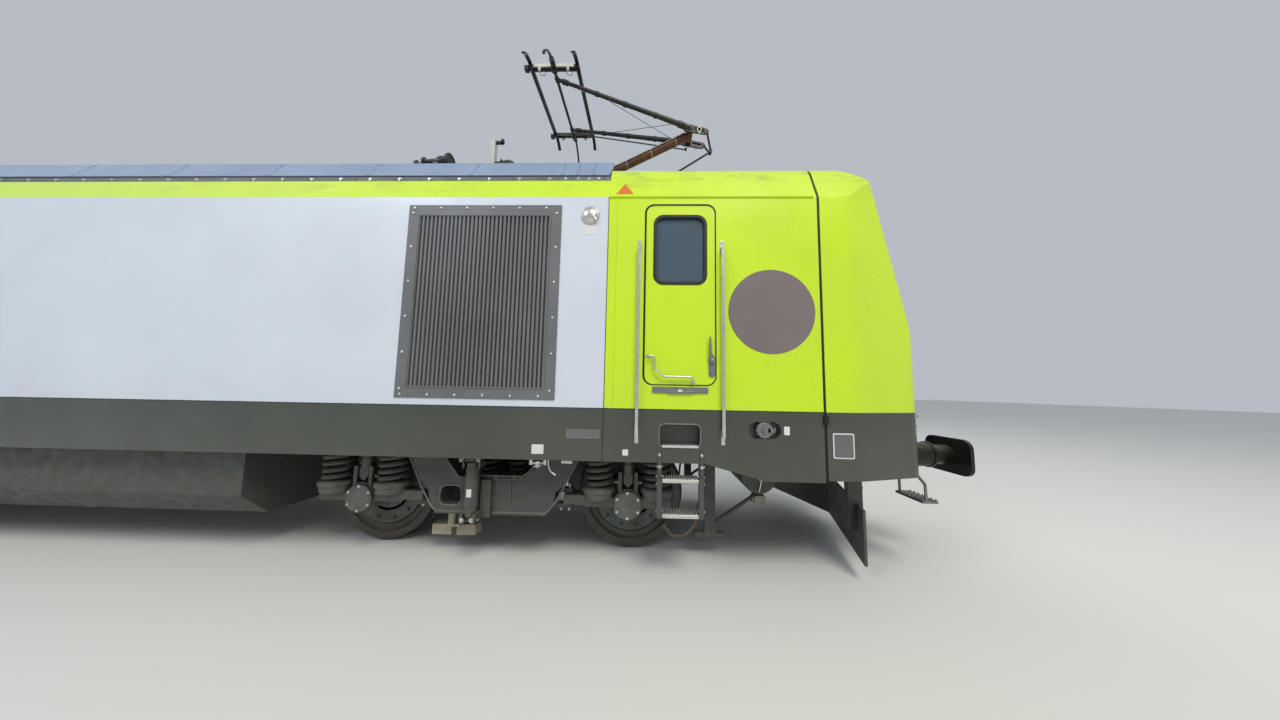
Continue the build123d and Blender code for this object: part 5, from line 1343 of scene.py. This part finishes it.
def horn_brackets(mesh):
    """Grey wedge brackets under the long horns' feet."""
    outline = ((-0.004, -0.004), (-0.004, 0.046), (-0.120, 0.028), (-0.100, 0.006))
    near, far = [
        [mesh.verts.new((x, LINK_SIDE + y, HEAD.z + z)) for y, z in outline] for x in about(HEAD.x, 0.030)
    ]
    mesh.faces.new(near)
    mesh.faces.new(list(reversed(far)))
    for k in range(4):
        mesh.faces.new([near[(k + 1) % 4], near[k], far[k], far[(k + 1) % 4]])
    for y in (-0.024, -0.078):
        add_bolt(mesh, (HEAD.x - 0.030, LINK_SIDE + y, HEAD.z + 0.022), (-1, 0, 0), 0.007)


def strip_carriers(mesh):
    """The alloy channel that holds each carbon strip, with its joint screws."""
    for x in (-STRIP_X, STRIP_X):
        for side in (-1, 1):
            face = HEAD.x + x + side * 0.023
            across = sorted((face - side * 0.002, face + side * 0.0025))
            add_block(mesh, across, (-0.598, 0), (HEAD.z + 0.026, HEAD.z + 0.046))
            for y in spaced(-0.56, -0.04, 0.13):
                add_rivet(mesh, (face + side * 0.0025, y, HEAD.z + 0.036), (side, 0, 0), 0.006)


def head_shunts(mesh):
    """Short bent shunt rods between each link's end and its middle."""
    for x in (-0.20, 0.16):
        start = Vector((HEAD.x + x, LINK_SIDE + 0.020, HEAD.z - 0.008))
        add_tube(mesh, bent((start, start + Vector((0.012, 0.020, -0.055)), start + Vector((0.075, 0.030, -0.060)),
                             start + Vector((0.090, 0.012, -0.002))), 0.03), 0.0045, sides=8)


for name, draw, material, edge in (
    ("link_covers", link_covers, LINK_WHITE, 0.003), ("link_ends", link_ends, CARBON, 0.002),
    ("horn_brackets", horn_brackets, ALLOY, 0.002), ("strip_carriers", strip_carriers, ALLOY, 0.0),
    ("head_shunts", head_shunts, DULL_ZINC, 0.0),
):
    piece(name, draw, material, "pantograph_head", BOTH, edge=edge)


def leg_point(share, side=-1):
    """A point on an upper arm leg, by its share of the way from knee to head."""
    middle = KNEE + (HEAD - KNEE) * share
    return Vector((middle.x, -side * (CHEEK_MID + (LEG_END - CHEEK_MID) * share), middle.z))


def leg_sleeves(mesh):
    """Collars where the leg's drawn tubes are joined, and its forged ends."""
    for share, long, grow in (
        (0.07, 0.10, 0.007), (0.27, 0.05, 0.005), (0.50, 0.06, 0.006), (0.71, 0.06, 0.006), (0.94, 0.09, 0.010)
    ):
        start, end = leg_point(share - long / 4), leg_point(share + long / 4)
        radius = 0.038 - 0.014 * share + grow
        length = (end - start).length
        sleeve = ((0, radius - grow), (0.006, radius), (length - 0.006, radius), (length, radius - grow))
        add_turned(mesh, start, (end - start).normalized(), sleeve, sides=24)
    boss = ((0, 0.020), (0.004, 0.031), (0.060, 0.031), (0.064, 0.020))
    add_turned(mesh, (HEAD.x, LEG_END - 0.032, HEAD.z), (0, 1, 0), boss, sides=28)
    cap = ((-0.014, 0.019), (-0.010, 0.026), (0.006, 0.026), (0.010, 0.014), (0.010, 0))
    add_turned(mesh, (HEAD.x, -0.640, HEAD.z), OUT, cap, sides=24)


def arm_stays(mesh):
    """The cross bracing of the upper arm: two thin stays that clear the folded lower arm, and the cheeks' struts."""
    for side in (-1, 1):
        eye = leg_point(0.70, side)
        add_bar(mesh, eye, leg_point(0.10, -side), 0.0035, sides=8)
        near, far = Vector((0.02, -side * 0.008, 0)), Vector((0.09, -side * 0.032, -0.022))
        add_bar(mesh, eye + near, eye + far, 0.007, sides=10)
    for side in (-1, 1):
        foot = Vector((KNEE.x - 0.060, -side * CHEEK_MID, KNEE.z - 0.052))
        add_bar(mesh, leg_point(0.10, side) + Vector((0.03, 0, 0)), foot, 0.011)


def guide_rod(mesh):
    """The thin rod under the left leg that keeps the head level, on its own lugs."""
    start = Vector((KNEE.x - 0.030, 0.165, KNEE.z - 0.092))
    end = Vector((HEAD.x + 0.085, 0.395, HEAD.z - 0.105))
    add_bar(mesh, start, end, 0.009)
    add_bar(mesh, start - Vector((0, 0.03, 0)), start + Vector((0, 0.012, 0)), 0.016)
    add_bar(mesh, (HEAD.x + 0.01, 0.395, HEAD.z), end, 0.010)
    add_bar(mesh, end - Vector((0, 0.016, 0)), end + Vector((0, 0.016, 0)), 0.015)


def cheek_trim(mesh):
    """Rims, hinge caps and bolts on the cheeks past the knee."""
    y = CHEEK_MID - 0.012
    cap = ((0, 0.040), (0.008, 0.040), (0.012, 0.034), (0.012, 0.020), (0.018, 0.018), (0.018, 0))
    add_turned(mesh, (KNEE.x, y, KNEE.z), OUT, cap)
    for x, z in ((0.232, -0.050), (0.215, -0.080), (0.030, 0.030), (-0.060, -0.040), (0.130, 0.012)):
        add_bolt(mesh, (KNEE.x + x, y, KNEE.z + z), OUT, 0.009)
    rim = ((0.062, 0.002), (0.200, -0.032), (0.200, -0.066), (0.062, -0.034), (0.062, 0.002))
    add_tube(mesh, bent([(KNEE.x + x, y - 0.004, KNEE.z + z) for x, z in rim], 0.010), 0.006, sides=8)


def knee_ring(mesh):
    """The pale ring fitting in the opening of the cheek, on its short strap."""
    y = CHEEK_MID - 0.022
    turns = [2 * math.pi * k / 24 for k in range(25)]
    ring = [(KNEE.x + 0.128 + 0.028 * math.cos(t), y, KNEE.z - 0.040 + 0.034 * math.sin(t)) for t in turns]
    add_tube(mesh, ring, 0.0075, sides=10)
    add_block(mesh, (KNEE.x + 0.118, KNEE.x + 0.138), (y - 0.006, y + 0.012), (KNEE.z - 0.012, KNEE.z + 0.014))
    add_block(mesh, (KNEE.x + 0.112, KNEE.x + 0.144), (y - 0.005, y + 0.012), (KNEE.z - 0.092, KNEE.z - 0.070))


piece("leg_sleeves", leg_sleeves, CARBON, "upper_arm", BOTH)
piece("arm_stays", arm_stays, CARBON, "upper_arm")
piece("guide_rod", guide_rod, CARBON, "upper_arm")
piece("cheek_trims", cheek_trim, CARBON, "upper_arm", BOTH)
piece("knee_rings", knee_ring, LINK_WHITE, "upper_arm", BOTH)


def arm_point(reach, lift=0.0, y=0.0):
    """A point along the lower arm, lifted square to it."""
    return Vector((
        PAN_BASE.x + reach * math.cos(LOWER_ANGLE) - lift * math.sin(LOWER_ANGLE), y,
        PAN_BASE.z + reach * math.sin(LOWER_ANGLE) + lift * math.cos(LOWER_ANGLE),
    ))


def arm_pipe(mesh):
    """The air pipe clipped along the lower arm's side, with its clips."""
    add_tube(mesh, [arm_point(0.14, 0.020, -0.066), arm_point(1.90, 0.020, -0.066)], 0.008, sides=10)
    for reach in (0.22, 0.62, 1.02, 1.42, 1.82):
        start, end = arm_point(reach - 0.012), arm_point(reach + 0.012)
        add_turned(mesh, start, end - start, ((0, 0.0595), (0.001, 0.0615), (0.023, 0.0615), (0.024, 0.0595)), sides=32)
        clip = arm_point(reach, 0.020)
        add_block(mesh, about(arm_point(reach).x, 0.012), (-0.078, -0.056), about(clip.z, 0.010))


def arm_ends(mesh):
    """Weld collars at both ends of the lower arm."""
    for reach, wide in ((0.060, 0.030), (1.930, 0.060)):
        start, end = arm_point(reach), arm_point(reach + wide)
        collar = ((0, 0.060), (0.006, 0.066), (wide - 0.006, 0.066), (wide, 0.059))
        add_turned(mesh, start, end - start, collar, sides=36)


piece("arm_pipe", arm_pipe, DULL_ZINC, "lower_arm")
piece("arm_collars", arm_ends, OXIDE, "lower_arm")


INSULATOR_Y = -0.390
AIR_SPRING_Y, AIR_SPRING_Z = -0.150, 4.290


def base_trim(mesh):
    """Foot flanges of the insulators, their bolts, and the bolts of the base frame."""
    flange = ((0, 0.112), (0.012, 0.112), (0.016, 0.108), (0.016, 0.070))
    for x in (5.420, 6.270):
        for z, up in ((3.990, 1), (4.400, -1)):
            add_turned(mesh, (x, INSULATOR_Y, z), (0, 0, up), flange, sides=36)
            add_bolts(mesh, around((x, INSULATOR_Y, z + up * 0.016), 0.099, 4, 45, LEVEL), (0, 0, up), 0.008)
    for x in (5.500, 6.270, 6.570):
        for side in (-1, 1):
            add_bolt(mesh, (x + side * 0.028, INSULATOR_Y, 4.460), UP, 0.010)


def bellows(mesh):
    """The rubber air spring that raises the arm, slung inside the base frame."""
    profile = [(0, 0.050), (0.012, 0.050)]
    for k in range(3):
        foot = 0.016 + 0.078 * k
        profile += [(foot + reach, radius) for reach, radius in (
            (0, 0.056), (0.014, 0.086), (0.039, 0.098), (0.064, 0.086), (0.074, 0.056)
        )]
    profile += [(0.256, 0.050), (0.268, 0.050)]
    add_turned(mesh, (5.720, AIR_SPRING_Y, AIR_SPRING_Z), AHEAD, profile, sides=40)


def bellows_mounts(mesh):
    for x in (5.706, 5.994):
        add_turned(mesh, (x - 0.006, AIR_SPRING_Y, AIR_SPRING_Z), AHEAD, ((0, 0.070), (0.012, 0.070)))
    add_bar(mesh, (5.500, AIR_SPRING_Y, 4.402), (5.706, AIR_SPRING_Y, AIR_SPRING_Z), 0.018)
    add_bar(mesh, (5.994, AIR_SPRING_Y, AIR_SPRING_Z), (6.270, AIR_SPRING_Y, 4.402), 0.018)


piece("insulator_flanges", base_trim, DULL_ZINC, "carbody", BOTH)
piece("air_springs", bellows, RUBBER, "carbody", BOTH)
piece("air_spring_mounts", bellows_mounts, OXIDE, "carbody", BOTH)

# Noses: windscreen rubber and wipers, lamp bezels, steps, rails, coupling and buffers
CHIN = Vector((9.350, 0, 2.150))
BROW = Vector((8.890, 0, 3.810))
CROWN = Vector((8.450, 0, 4.080))
HEADSTOCK = 9.370


def on_slope(mesh, low, high):
    """Turns what was drawn in the side view onto a slope of the nose, facing out, centred on it."""
    up = (high - low).normalized()
    out = Vector((up.z, 0, -up.x))
    turn = Matrix((Vector((0, 1, 0)), -out, up)).transposed().to_4x4()
    bmesh.ops.transform(mesh, matrix=Matrix.Translation((low + high) / 2) @ turn, verts=mesh.verts[:])


def facing_ahead(mesh):
    """Turns what was drawn in the side view to face ahead at the headstock."""
    turn = Matrix(((0, -1, 0), AHEAD, UP)).to_4x4()
    bmesh.ops.transform(mesh, matrix=Matrix.Translation((HEADSTOCK, 0, 0)) @ turn, verts=mesh.verts[:])


SCREEN_X = (-1.070, 1.070)
SCREEN_Z = (-0.575, 0.575)
SCREEN_R = 0.140


def screen_rubber(mesh):
    add_rim(mesh, SCREEN_X, SCREEN_Z, (0.020, SCREEN_R + 0.020), (-0.030, SCREEN_R - 0.030), (-0.006, 0.009), 12)
    on_slope(mesh, CHIN, BROW)


def screen_band(mesh):
    """The dark printed border inside the glass edge and the sun blind along its top."""
    clear_z = (SCREEN_Z[0] + 0.075, SCREEN_Z[1] - 0.120)
    add_frame(
        mesh, rounded(wider(SCREEN_X, -0.004), wider(SCREEN_Z, -0.004), SCREEN_R, 12),
        rounded(wider(SCREEN_X, -0.090), clear_z, SCREEN_R - 0.060, 12), (0.0285, 0.0305)
    )
    on_slope(mesh, CHIN, BROW)


def wipers(mesh):
    """Twin-link wipers: spindles under the glass, two thin arms each and a long blade, parked upright."""
    spindle = ((0, 0.022), (0.022, 0.022), (0.030, 0.014), (0.040, 0.012), (0.040, 0))
    for foot, lean in ((0.22, -0.06), (-0.72, -0.06)):
        base = Vector((foot, -0.012, -0.655))
        tip = Vector((foot + lean, -0.040, -0.150))
        for off in (0.0, 0.060):
            add_turned(mesh, (foot + off, 0.004, -0.655), OUT, spindle, sides=20)
            add_bar(mesh, base + Vector((off, -0.014, 0)), tip + Vector((off * 0.4, 0, 0)), 0.0075, 0.0055, sides=10)
        add_block(mesh, (tip.x - 0.010, tip.x + 0.034), about(tip.y, 0.008), about(tip.z, 0.014))
        add_bar(mesh, tip + Vector((0.012, 0.012, -0.36)), tip + Vector((0.012, 0.012, 0.36)), 0.0085, sides=8)
        add_block(mesh, (tip.x + 0.009, tip.x + 0.015), (tip.y + 0.012, tip.y + 0.034), about(tip.z, 0.370))
        for z in (-0.24, 0.24):
            add_bar(mesh, tip, tip + Vector((0.012, 0.010, z)), 0.005, sides=8)
    on_slope(mesh, CHIN, BROW)


def top_lamp(mesh):
    add_rim(mesh, (-0.204, 0.204), (-0.059, 0.059), (0.034, 0.076), (0, 0.054), (-0.018, 0.004), 10)
    for x in (-0.226, 0.226):
        for z in (-0.030, 0.030):
            add_rivet(mesh, (x, -0.018, z), OUT, 0.006)
    on_slope(mesh, BROW, CROWN)


LAMPS_Y = (-0.880, 0.880)


def low_lamps(mesh):
    """Bezels with a step, four screws each, and a divider between the round lamps behind the cover."""
    for y in LAMPS_Y:
        add_rim(mesh, about(y, 0.200), (1.795, 1.965), (0.042, 0.084), (0, 0.052), (-0.018, 0.010), 10)
        add_block(mesh, about(y, 0.004), (-0.0135, 0.0), (1.795, 1.965))
        for x in about(y, 0.222):
            for z in (1.820, 1.940):
                add_rivet(mesh, (x, -0.018, z), OUT, 0.007)
    facing_ahead(mesh)


def lamp_bowls(mesh):
    """The bright reflector rims that show through the covers."""
    bowl = ((0, 0.078), (0.0025, 0.078), (0.003, 0.070), (0.001, 0.064), (0.001, 0.020), (0.003, 0.016), (0.003, 0))
    for y in LAMPS_Y:
        for side in (-1, 1):
            add_turned(mesh, (y + side * 0.100, -0.0102, 1.880), OUT, bowl, sides=36)
    facing_ahead(mesh)


def front_steps(mesh):
    """A shunter's step below each buffer, with an open tread."""
    y, z = -1.060, 0.700
    add_block(mesh, about(y, 0.170), (-0.165, -0.020), about(z, 0.012))
    for x in spaced(*about(y, 0.150), 0.050):
        for off in (-0.160, -0.060):
            add_bar(mesh, (x, off, z + 0.010), (x, off, z + 0.026), 0.009, 0.005, sides=8)
    for x in about(y, 0.160):
        add_tube(mesh, bent(((x, -0.060, z), (x, -0.060, 0.860), (x, 0.020, 0.960)), 0.05), 0.013)
    facing_ahead(mesh)


def front_rails(mesh):
    """A grab rail low across each corner by the buffers."""
    low, high = about(-0.930, 0.230)
    z = 1.400
    rail = ((low, 0.004, z), (low, -0.070, z), (high, -0.070, z), (high, 0.004, z))
    add_tube(mesh, bent(rail, 0.03), 0.0125, sides=14)
    for x in (low, high):
        add_turned(mesh, (x, 0.002, z), OUT, ((0, 0.030), (0.008, 0.030), (0.012, 0.018)), sides=24)
    facing_ahead(mesh)


def apron_bolts(mesh):
    for y, z in ((-0.680, 0.900), (-1.070, 0.900), (-0.680, 1.270), (-1.070, 1.270)):
        add_bolt(mesh, (y, -0.030, z), OUT, 0.018)
    for y in (-0.150, -0.060):
        for z in (0.975, 1.195):
            add_bolt(mesh, (y, -0.040, z), OUT, 0.018)
    for y in spaced(-1.250, -0.050, 0.300):
        add_rivet(mesh, (y, 0.0, 1.505), OUT, 0.008)
    facing_ahead(mesh)


SCREW_OUT = -0.175


def screw_coupling(mesh):
    """The screw coupling, hung back on the draw hook: two bows, a trunnion, the screw and its weight."""
    for y in (-0.055, 0.055):
        add_tube(mesh, bent(((y, -0.150, 1.045), (y * 1.25, -0.170, 0.900), (y * 1.05, SCREW_OUT, 0.740)), 0.10), 0.017)
    add_bar(mesh, (-0.078, -0.150, 1.050), (0.078, -0.150, 1.050), 0.022)
    add_bar(mesh, (-0.090, SCREW_OUT, 0.740), (0.090, SCREW_OUT, 0.740), 0.024)
    add_bar(mesh, (0, SCREW_OUT, 0.760), (0, SCREW_OUT, 0.440), 0.019, sides=20)
    for k in range(14):
        z = 0.700 - 0.018 * k
        add_turned(mesh, (0, SCREW_OUT, z), DOWN, ((0, 0.018), (0.006, 0.024), (0.012, 0.018)), sides=20)
    add_bar(mesh, (-0.090, SCREW_OUT, 0.500), (0.090, SCREW_OUT, 0.500), 0.024)
    for y in (-0.066, 0.066):
        bow = ((y, SCREW_OUT, 0.500), (y * 1.1, -0.165, 0.400), (y * 0.4, -0.160, 0.330), (0, -0.160, 0.325))
        add_tube(mesh, bent(bow, 0.05), 0.016)
    add_bar(mesh, (0, -0.190, 0.595), (0.120, -0.235, 0.560), 0.010)
    weight = ((-0.020, 0), (-0.014, 0.020), (0.006, 0.030), (0.028, 0.024), (0.036, 0))
    add_turned(mesh, (0.118, -0.234, 0.561), (0.93, -0.35, -0.1), weight, sides=24)
    facing_ahead(mesh)


BUFFER_AT = ((-0.875, 1.085), (0.875, 1.085))


def buffer_trim(mesh):
    """Sleeve collars, the plunger's wiper ring and the base bolts."""
    for y, z in BUFFER_AT:
        add_turned(mesh, (y, -0.360, z), OUT, ((0, 0.126), (0.004, 0.133), (0.026, 0.133), (0.030, 0.126)), sides=48)
        add_turned(mesh, (y, -0.030, z), OUT, ((0, 0.160), (0.012, 0.160), (0.060, 0.128)), sides=48)
        add_turned(mesh, (y, -0.370, z), OUT, ((0, 0.112), (0.012, 0.110), (0.014, 0.101)), sides=48)
    facing_ahead(mesh)


def buffer_bolts(mesh):
    for y, z in BUFFER_AT:
        for dy in (-0.155, 0.155):
            for dz in (-0.155, 0.155):
                add_bolt(mesh, (y + dy, -0.030, z + dz), OUT, 0.020)
                add_bar(mesh, (y + dy, -0.030, z + dz), (y + dy, -0.062, z + dz), 0.011, sides=12)
    facing_ahead(mesh)


for end, place in ENDS:
    for name, draw, material, slot, images, edge in (
        ("screen_rubber", screen_rubber, RUBBER, "seal_rubber", (), 0.003),
        ("screen_band", screen_band, RUBBER, "seal_rubber", (), 0.0),
        ("wipers", wipers, HORN, "horn_enamel", (), 0.0),
        ("top_lamp_bezel", top_lamp, CAST_GREY, "grille_alloy", (), 0.003),
        ("low_lamp_bezels", low_lamps, CAST_GREY, "grille_alloy", (), 0.003),
        ("lamp_bowls", lamp_bowls, BRIGHT_ALLOY, "rail_stainless", (), 0.0),
        ("front_steps", front_steps, DULL_ZINC, "rail_stainless", BOTH, 0.002),
        ("front_rails", front_rails, STAINLESS, "rail_stainless", BOTH, 0.0),
        ("apron_bolts", apron_bolts, DULL_ZINC, "rail_stainless", BOTH, 0.0),
        ("screw_coupling", screw_coupling, BUFFER, "buffer_steel", (), 0.0),
        ("buffer_trim", buffer_trim, BUFFER, "buffer_steel", (), 0.0),
        ("buffer_bolts", buffer_bolts, DULL_ZINC, "rail_stainless", (), 0.0),
    ):
        piece(f"{name}_{end}", draw, material, "carbody", images, place, edge)

# Cabs: seats with moulded cushions, desk fittings
SEAT_Y = (-0.520, 0.520)
FLOOR_TOP = BOXES["cab_floors"][1].z


def add_cushion(mesh, middle, size, lean, crown, seams):
    """A cushion on a grid of points: crowned faces, sides that pull in between the corners, bolsters
    and stitched channels. It is drawn flat, leaned by an angle and carried to its middle."""
    made = bmesh.ops.create_cube(mesh, size=1.0)["verts"]
    edges = list({edge for vert in made for edge in vert.link_edges})
    bmesh.ops.subdivide_edges(mesh, edges=edges, cuts=19, use_grid_fill=True)
    for vert in mesh.verts:
        u, v, w = 2 * vert.co.x, 2 * vert.co.y, 2 * vert.co.z
        corner = (abs(u * v) ** 5 + abs(v * w) ** 5 + abs(w * u) ** 5) / 3
        pull = 1 - 0.030 * (1 - w * w) * (2 - u * u - v * v)
        top = w * (1 + crown * (1 - u * u) * (1 - v * v)) * (1 - 0.16 * corner)
        if w > 0.5:
            top -= 0.17 * sum(math.exp(-((u - seam) / 0.06) ** 2) for seam in seams) * (abs(v) < 0.97)
            top -= 0.15 * math.exp(-((abs(v) - 0.66) / 0.06) ** 2)
            top += 0.30 * max(0.0, abs(v) - 0.66) * (1 - abs(v) ** 8)
        ease = pull * (1 - 0.05 * corner)
        at = Vector((u * size[0] / 2 * ease, v * size[1] / 2 * ease, top * size[2] / 2))
        at.rotate(Matrix.Rotation(lean, 3, "Y"))
        vert.co = at + Vector(middle)


PADS = (
    # name, middle in x and z, size along, across and through, lean in degrees, crown, seams
    ("squab", (7.768, 2.214), (0.384, 0.470, 0.104), -2, 0.16, (-0.35, 0.30)),
    ("back", (7.556, 2.495), (0.500, 0.460, 0.104), 84.6, 0.14, (-0.50, 0.0, 0.50)),
    ("head_rest", (7.522, 2.868), (0.150, 0.280, 0.096), 84.6, 0.14, ()),
)


def seat_frames(mesh):
    """Pillars with their turned collars, slide rails under the pans, the pans and the back shells."""
    for y in SEAT_Y:
        add_turned(mesh, (7.720, y, FLOOR_TOP), UP, (
            (0, 0.150), (0.014, 0.150), (0.020, 0.135), (0.030, 0.078), (0.120, 0.066), (0.240, 0.066), (0.246, 0.050),
            (0.400, 0.048), (0.404, 0.100), (0.424, 0.110), (0.428, 0.110)
        ), sides=40)
        for side in (-0.150, 0.150):
            add_block(mesh, (7.590, 7.930), about(y + side, 0.018), (2.140, 2.158))
        add_block(mesh, (7.574, 7.956), about(y, 0.215), (2.156, 2.172))
        for side in (-0.238, 0.238):
            span = sorted((y + side, y + side - math.copysign(0.016, side)))
            add_plate(mesh, [(7.505, 2.190), (7.600, 2.176), (7.590, 2.270), (7.500, 2.420), (7.478, 2.410)], span)
        add_bar(mesh, (7.900, y + 0.160, 2.150), (7.960, y + 0.160, 2.132), 0.009, sides=12)


def seat_arms(mesh):
    for middle in SEAT_Y:
        for y in about(middle, 0.232):
            arm = ((7.530, y, 2.300), (7.520, y, 2.470), (7.560, y, 2.475), (7.780, y, 2.470))
            add_tube(mesh, bent(arm, 0.03), 0.019, sides=14)


for end, place in (("a", AS_DRAWN), ("a", ACROSS), ("b", ALONG), ("b", OPPOSITE)):
    hand = "right" if place[1] > 0 else "left"
    for name, (x, z), size, lean, crown, seams in PADS:
        def one_pad(mesh, x=x, z=z, size=size, lean=lean, crown=crown, seams=seams):
            add_cushion(mesh, (x, SEAT_Y[0], z), size, math.radians(lean), crown, seams)
        pad = piece(f"seat_{name}_{end}_{hand}", one_pad, CLOTH, "carbody", place=place)
        if name == "squab" and place == AS_DRAWN:
            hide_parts("seats")
piece("seat_frames", seat_frames, PANEL, "carbody", (ALONG,), edge=0.003)
piece("seat_arms", seat_arms, PANEL, "carbody", (ALONG,))


def desk_screens(mesh):
    """Dark displays set in the desk's slope, with their frames."""
    for y, wide in ((-0.62, 0.30), (-0.28, 0.30), (0.62, 0.30), (0.28, 0.26)):
        low, high = Vector((8.240, y, FLOOR_TOP + 0.820)), Vector((8.560, y, FLOOR_TOP + 0.864))
        up = (high - low).normalized()
        out = Vector((-up.z, 0, up.x))
        for grow, lift in ((0.0, 0.010), (-0.020, 0.014)):
            half = wide / 2 + grow
            corners = []
            for level in (lift, 0.0):
                for along, across in ((-grow, -half), (-grow, half), (1 + grow, half), (1 + grow, -half)):
                    corners.append(mesh.verts.new(low + (high - low) * along + Vector((0, across, 0)) + out * level))
            mesh.faces.new(corners[:4])
            for k in range(4):
                mesh.faces.new([corners[(k + 1) % 4], corners[k], corners[4 + k], corners[4 + (k + 1) % 4]])


def desk_levers(mesh):
    """Throttle and brake handles on their quadrants, and a row of knobs."""
    quadrant = ((0, 0.052), (0.012, 0.052), (0.020, 0.044), (0.022, 0))
    grip = ((0, 0.010), (0.008, 0.022), (0.030, 0.024), (0.046, 0.014), (0.050, 0))
    knob = ((0, 0.013), (0.010, 0.012), (0.014, 0.008), (0.014, 0))
    for y in (-0.900, -0.060, 0.900, 0.060):
        add_turned(mesh, (8.230, y, FLOOR_TOP + 0.812), (-0.10, 0, 1), quadrant, sides=28)
        add_bar(mesh, (8.230, y, FLOOR_TOP + 0.820), (8.196, y, FLOOR_TOP + 0.905), 0.008, sides=12)
        add_turned(mesh, (8.196, y, FLOOR_TOP + 0.900), (-0.35, 0, 1), grip, sides=24)
    for y in spaced(-0.40, 0.40, 0.08):
        add_turned(mesh, (8.180, y, FLOOR_TOP + 0.806), (-0.10, 0, 1), knob, sides=14)


piece("desk_displays", desk_screens, HORN, "carbody", (ALONG,))
piece("desk_handles", desk_levers, CARBON, "carbody", (ALONG,))

# Camera: an upright phone's very wide lens, close to the side and tilted up
CAMERA_AT = (6.796, -4.440, 1.719)
FOCAL_PX = 321.0
FRAME_PX = 1280
PITCH = math.radians(5.17)
ROLL = math.radians(0.98)
YAW = math.radians(1.71)
SENSOR = 36.0
right = Vector((math.cos(YAW), math.sin(YAW), 0))
ahead = Vector((-math.sin(YAW), math.cos(YAW), 0))
view_way = ahead * math.cos(PITCH) + Vector((0, 0, math.sin(PITCH)))
view_up = -ahead * math.sin(PITCH) + Vector((0, 0, math.cos(PITCH)))
rolled_right = right * math.cos(ROLL) + view_up * math.sin(ROLL)
rolled_up = view_up * math.cos(ROLL) - right * math.sin(ROLL)
camera = bpy.data.objects.new("camera", bpy.data.cameras.new("camera"))
camera.data.sensor_width = SENSOR
camera.data.lens = FOCAL_PX * SENSOR / FRAME_PX
camera.data.clip_start = 0.05
camera.data.clip_end = 400
turn = Matrix((rolled_right, rolled_up, -view_way)).transposed().to_4x4()
camera.matrix_world = Matrix.Translation(CAMERA_AT) @ turn
bpy.context.scene.collection.objects.link(camera)
bpy.context.scene.camera = camera

# Studio: a pale floor, an even pale sky and three soft lamps
FLOOR_SIZE = 90.0
floor_mesh = bpy.data.meshes.new("floor")
corners = [(x * FLOOR_SIZE, y * FLOOR_SIZE, 0) for x, y in ((-1, -1), (1, -1), (1, 1), (-1, 1))]
floor_mesh.from_pydata(corners, [], [(0, 1, 2, 3)])
floor = bpy.data.objects.new("floor", floor_mesh)
bpy.context.scene.collection.objects.link(floor)
floor_material, _, floor_shader, _ = start_material("pale_floor")
floor_shader.inputs["Base Color"].default_value = linear("#d8d8d4")
floor_shader.inputs["Roughness"].default_value = 0.7
floor_mesh.materials.append(floor_material)

world = bpy.data.worlds.new("sky")
bpy.context.scene.world = world
world.use_nodes = True
world.node_tree.nodes["Background"].inputs["Color"].default_value = linear("#dfe6ee")
world.node_tree.nodes["Background"].inputs["Strength"].default_value = 0.64
LAMPS_AIM = Vector((2, 0, 2))
LAMPS = (
    # name, place, size, power in watts, colour
    ("key", (12.0, -14.0, 19.0), 8.0, 3000, "#fff4e6"),
    ("fill", (-10.0, -15.0, 18.0), 10.0, 1800, "#e8f0ff"),
    ("back", (2.0, 14.0, 14.0), 10.0, 900, "#ffffff"),
)
for name, at, size, power, colour in LAMPS:
    lamp = bpy.data.lights.new(name, "AREA")
    lamp.size = size
    lamp.energy = power
    lamp.color = linear(colour)[:3]
    holder = bpy.data.objects.new(name, lamp)
    holder.location = at
    holder.rotation_euler = (LAMPS_AIM - Vector(at)).to_track_quat("-Z", "Y").to_euler()
    bpy.context.scene.collection.objects.link(holder)

bpy.context.scene.view_settings.view_transform = "Standard"
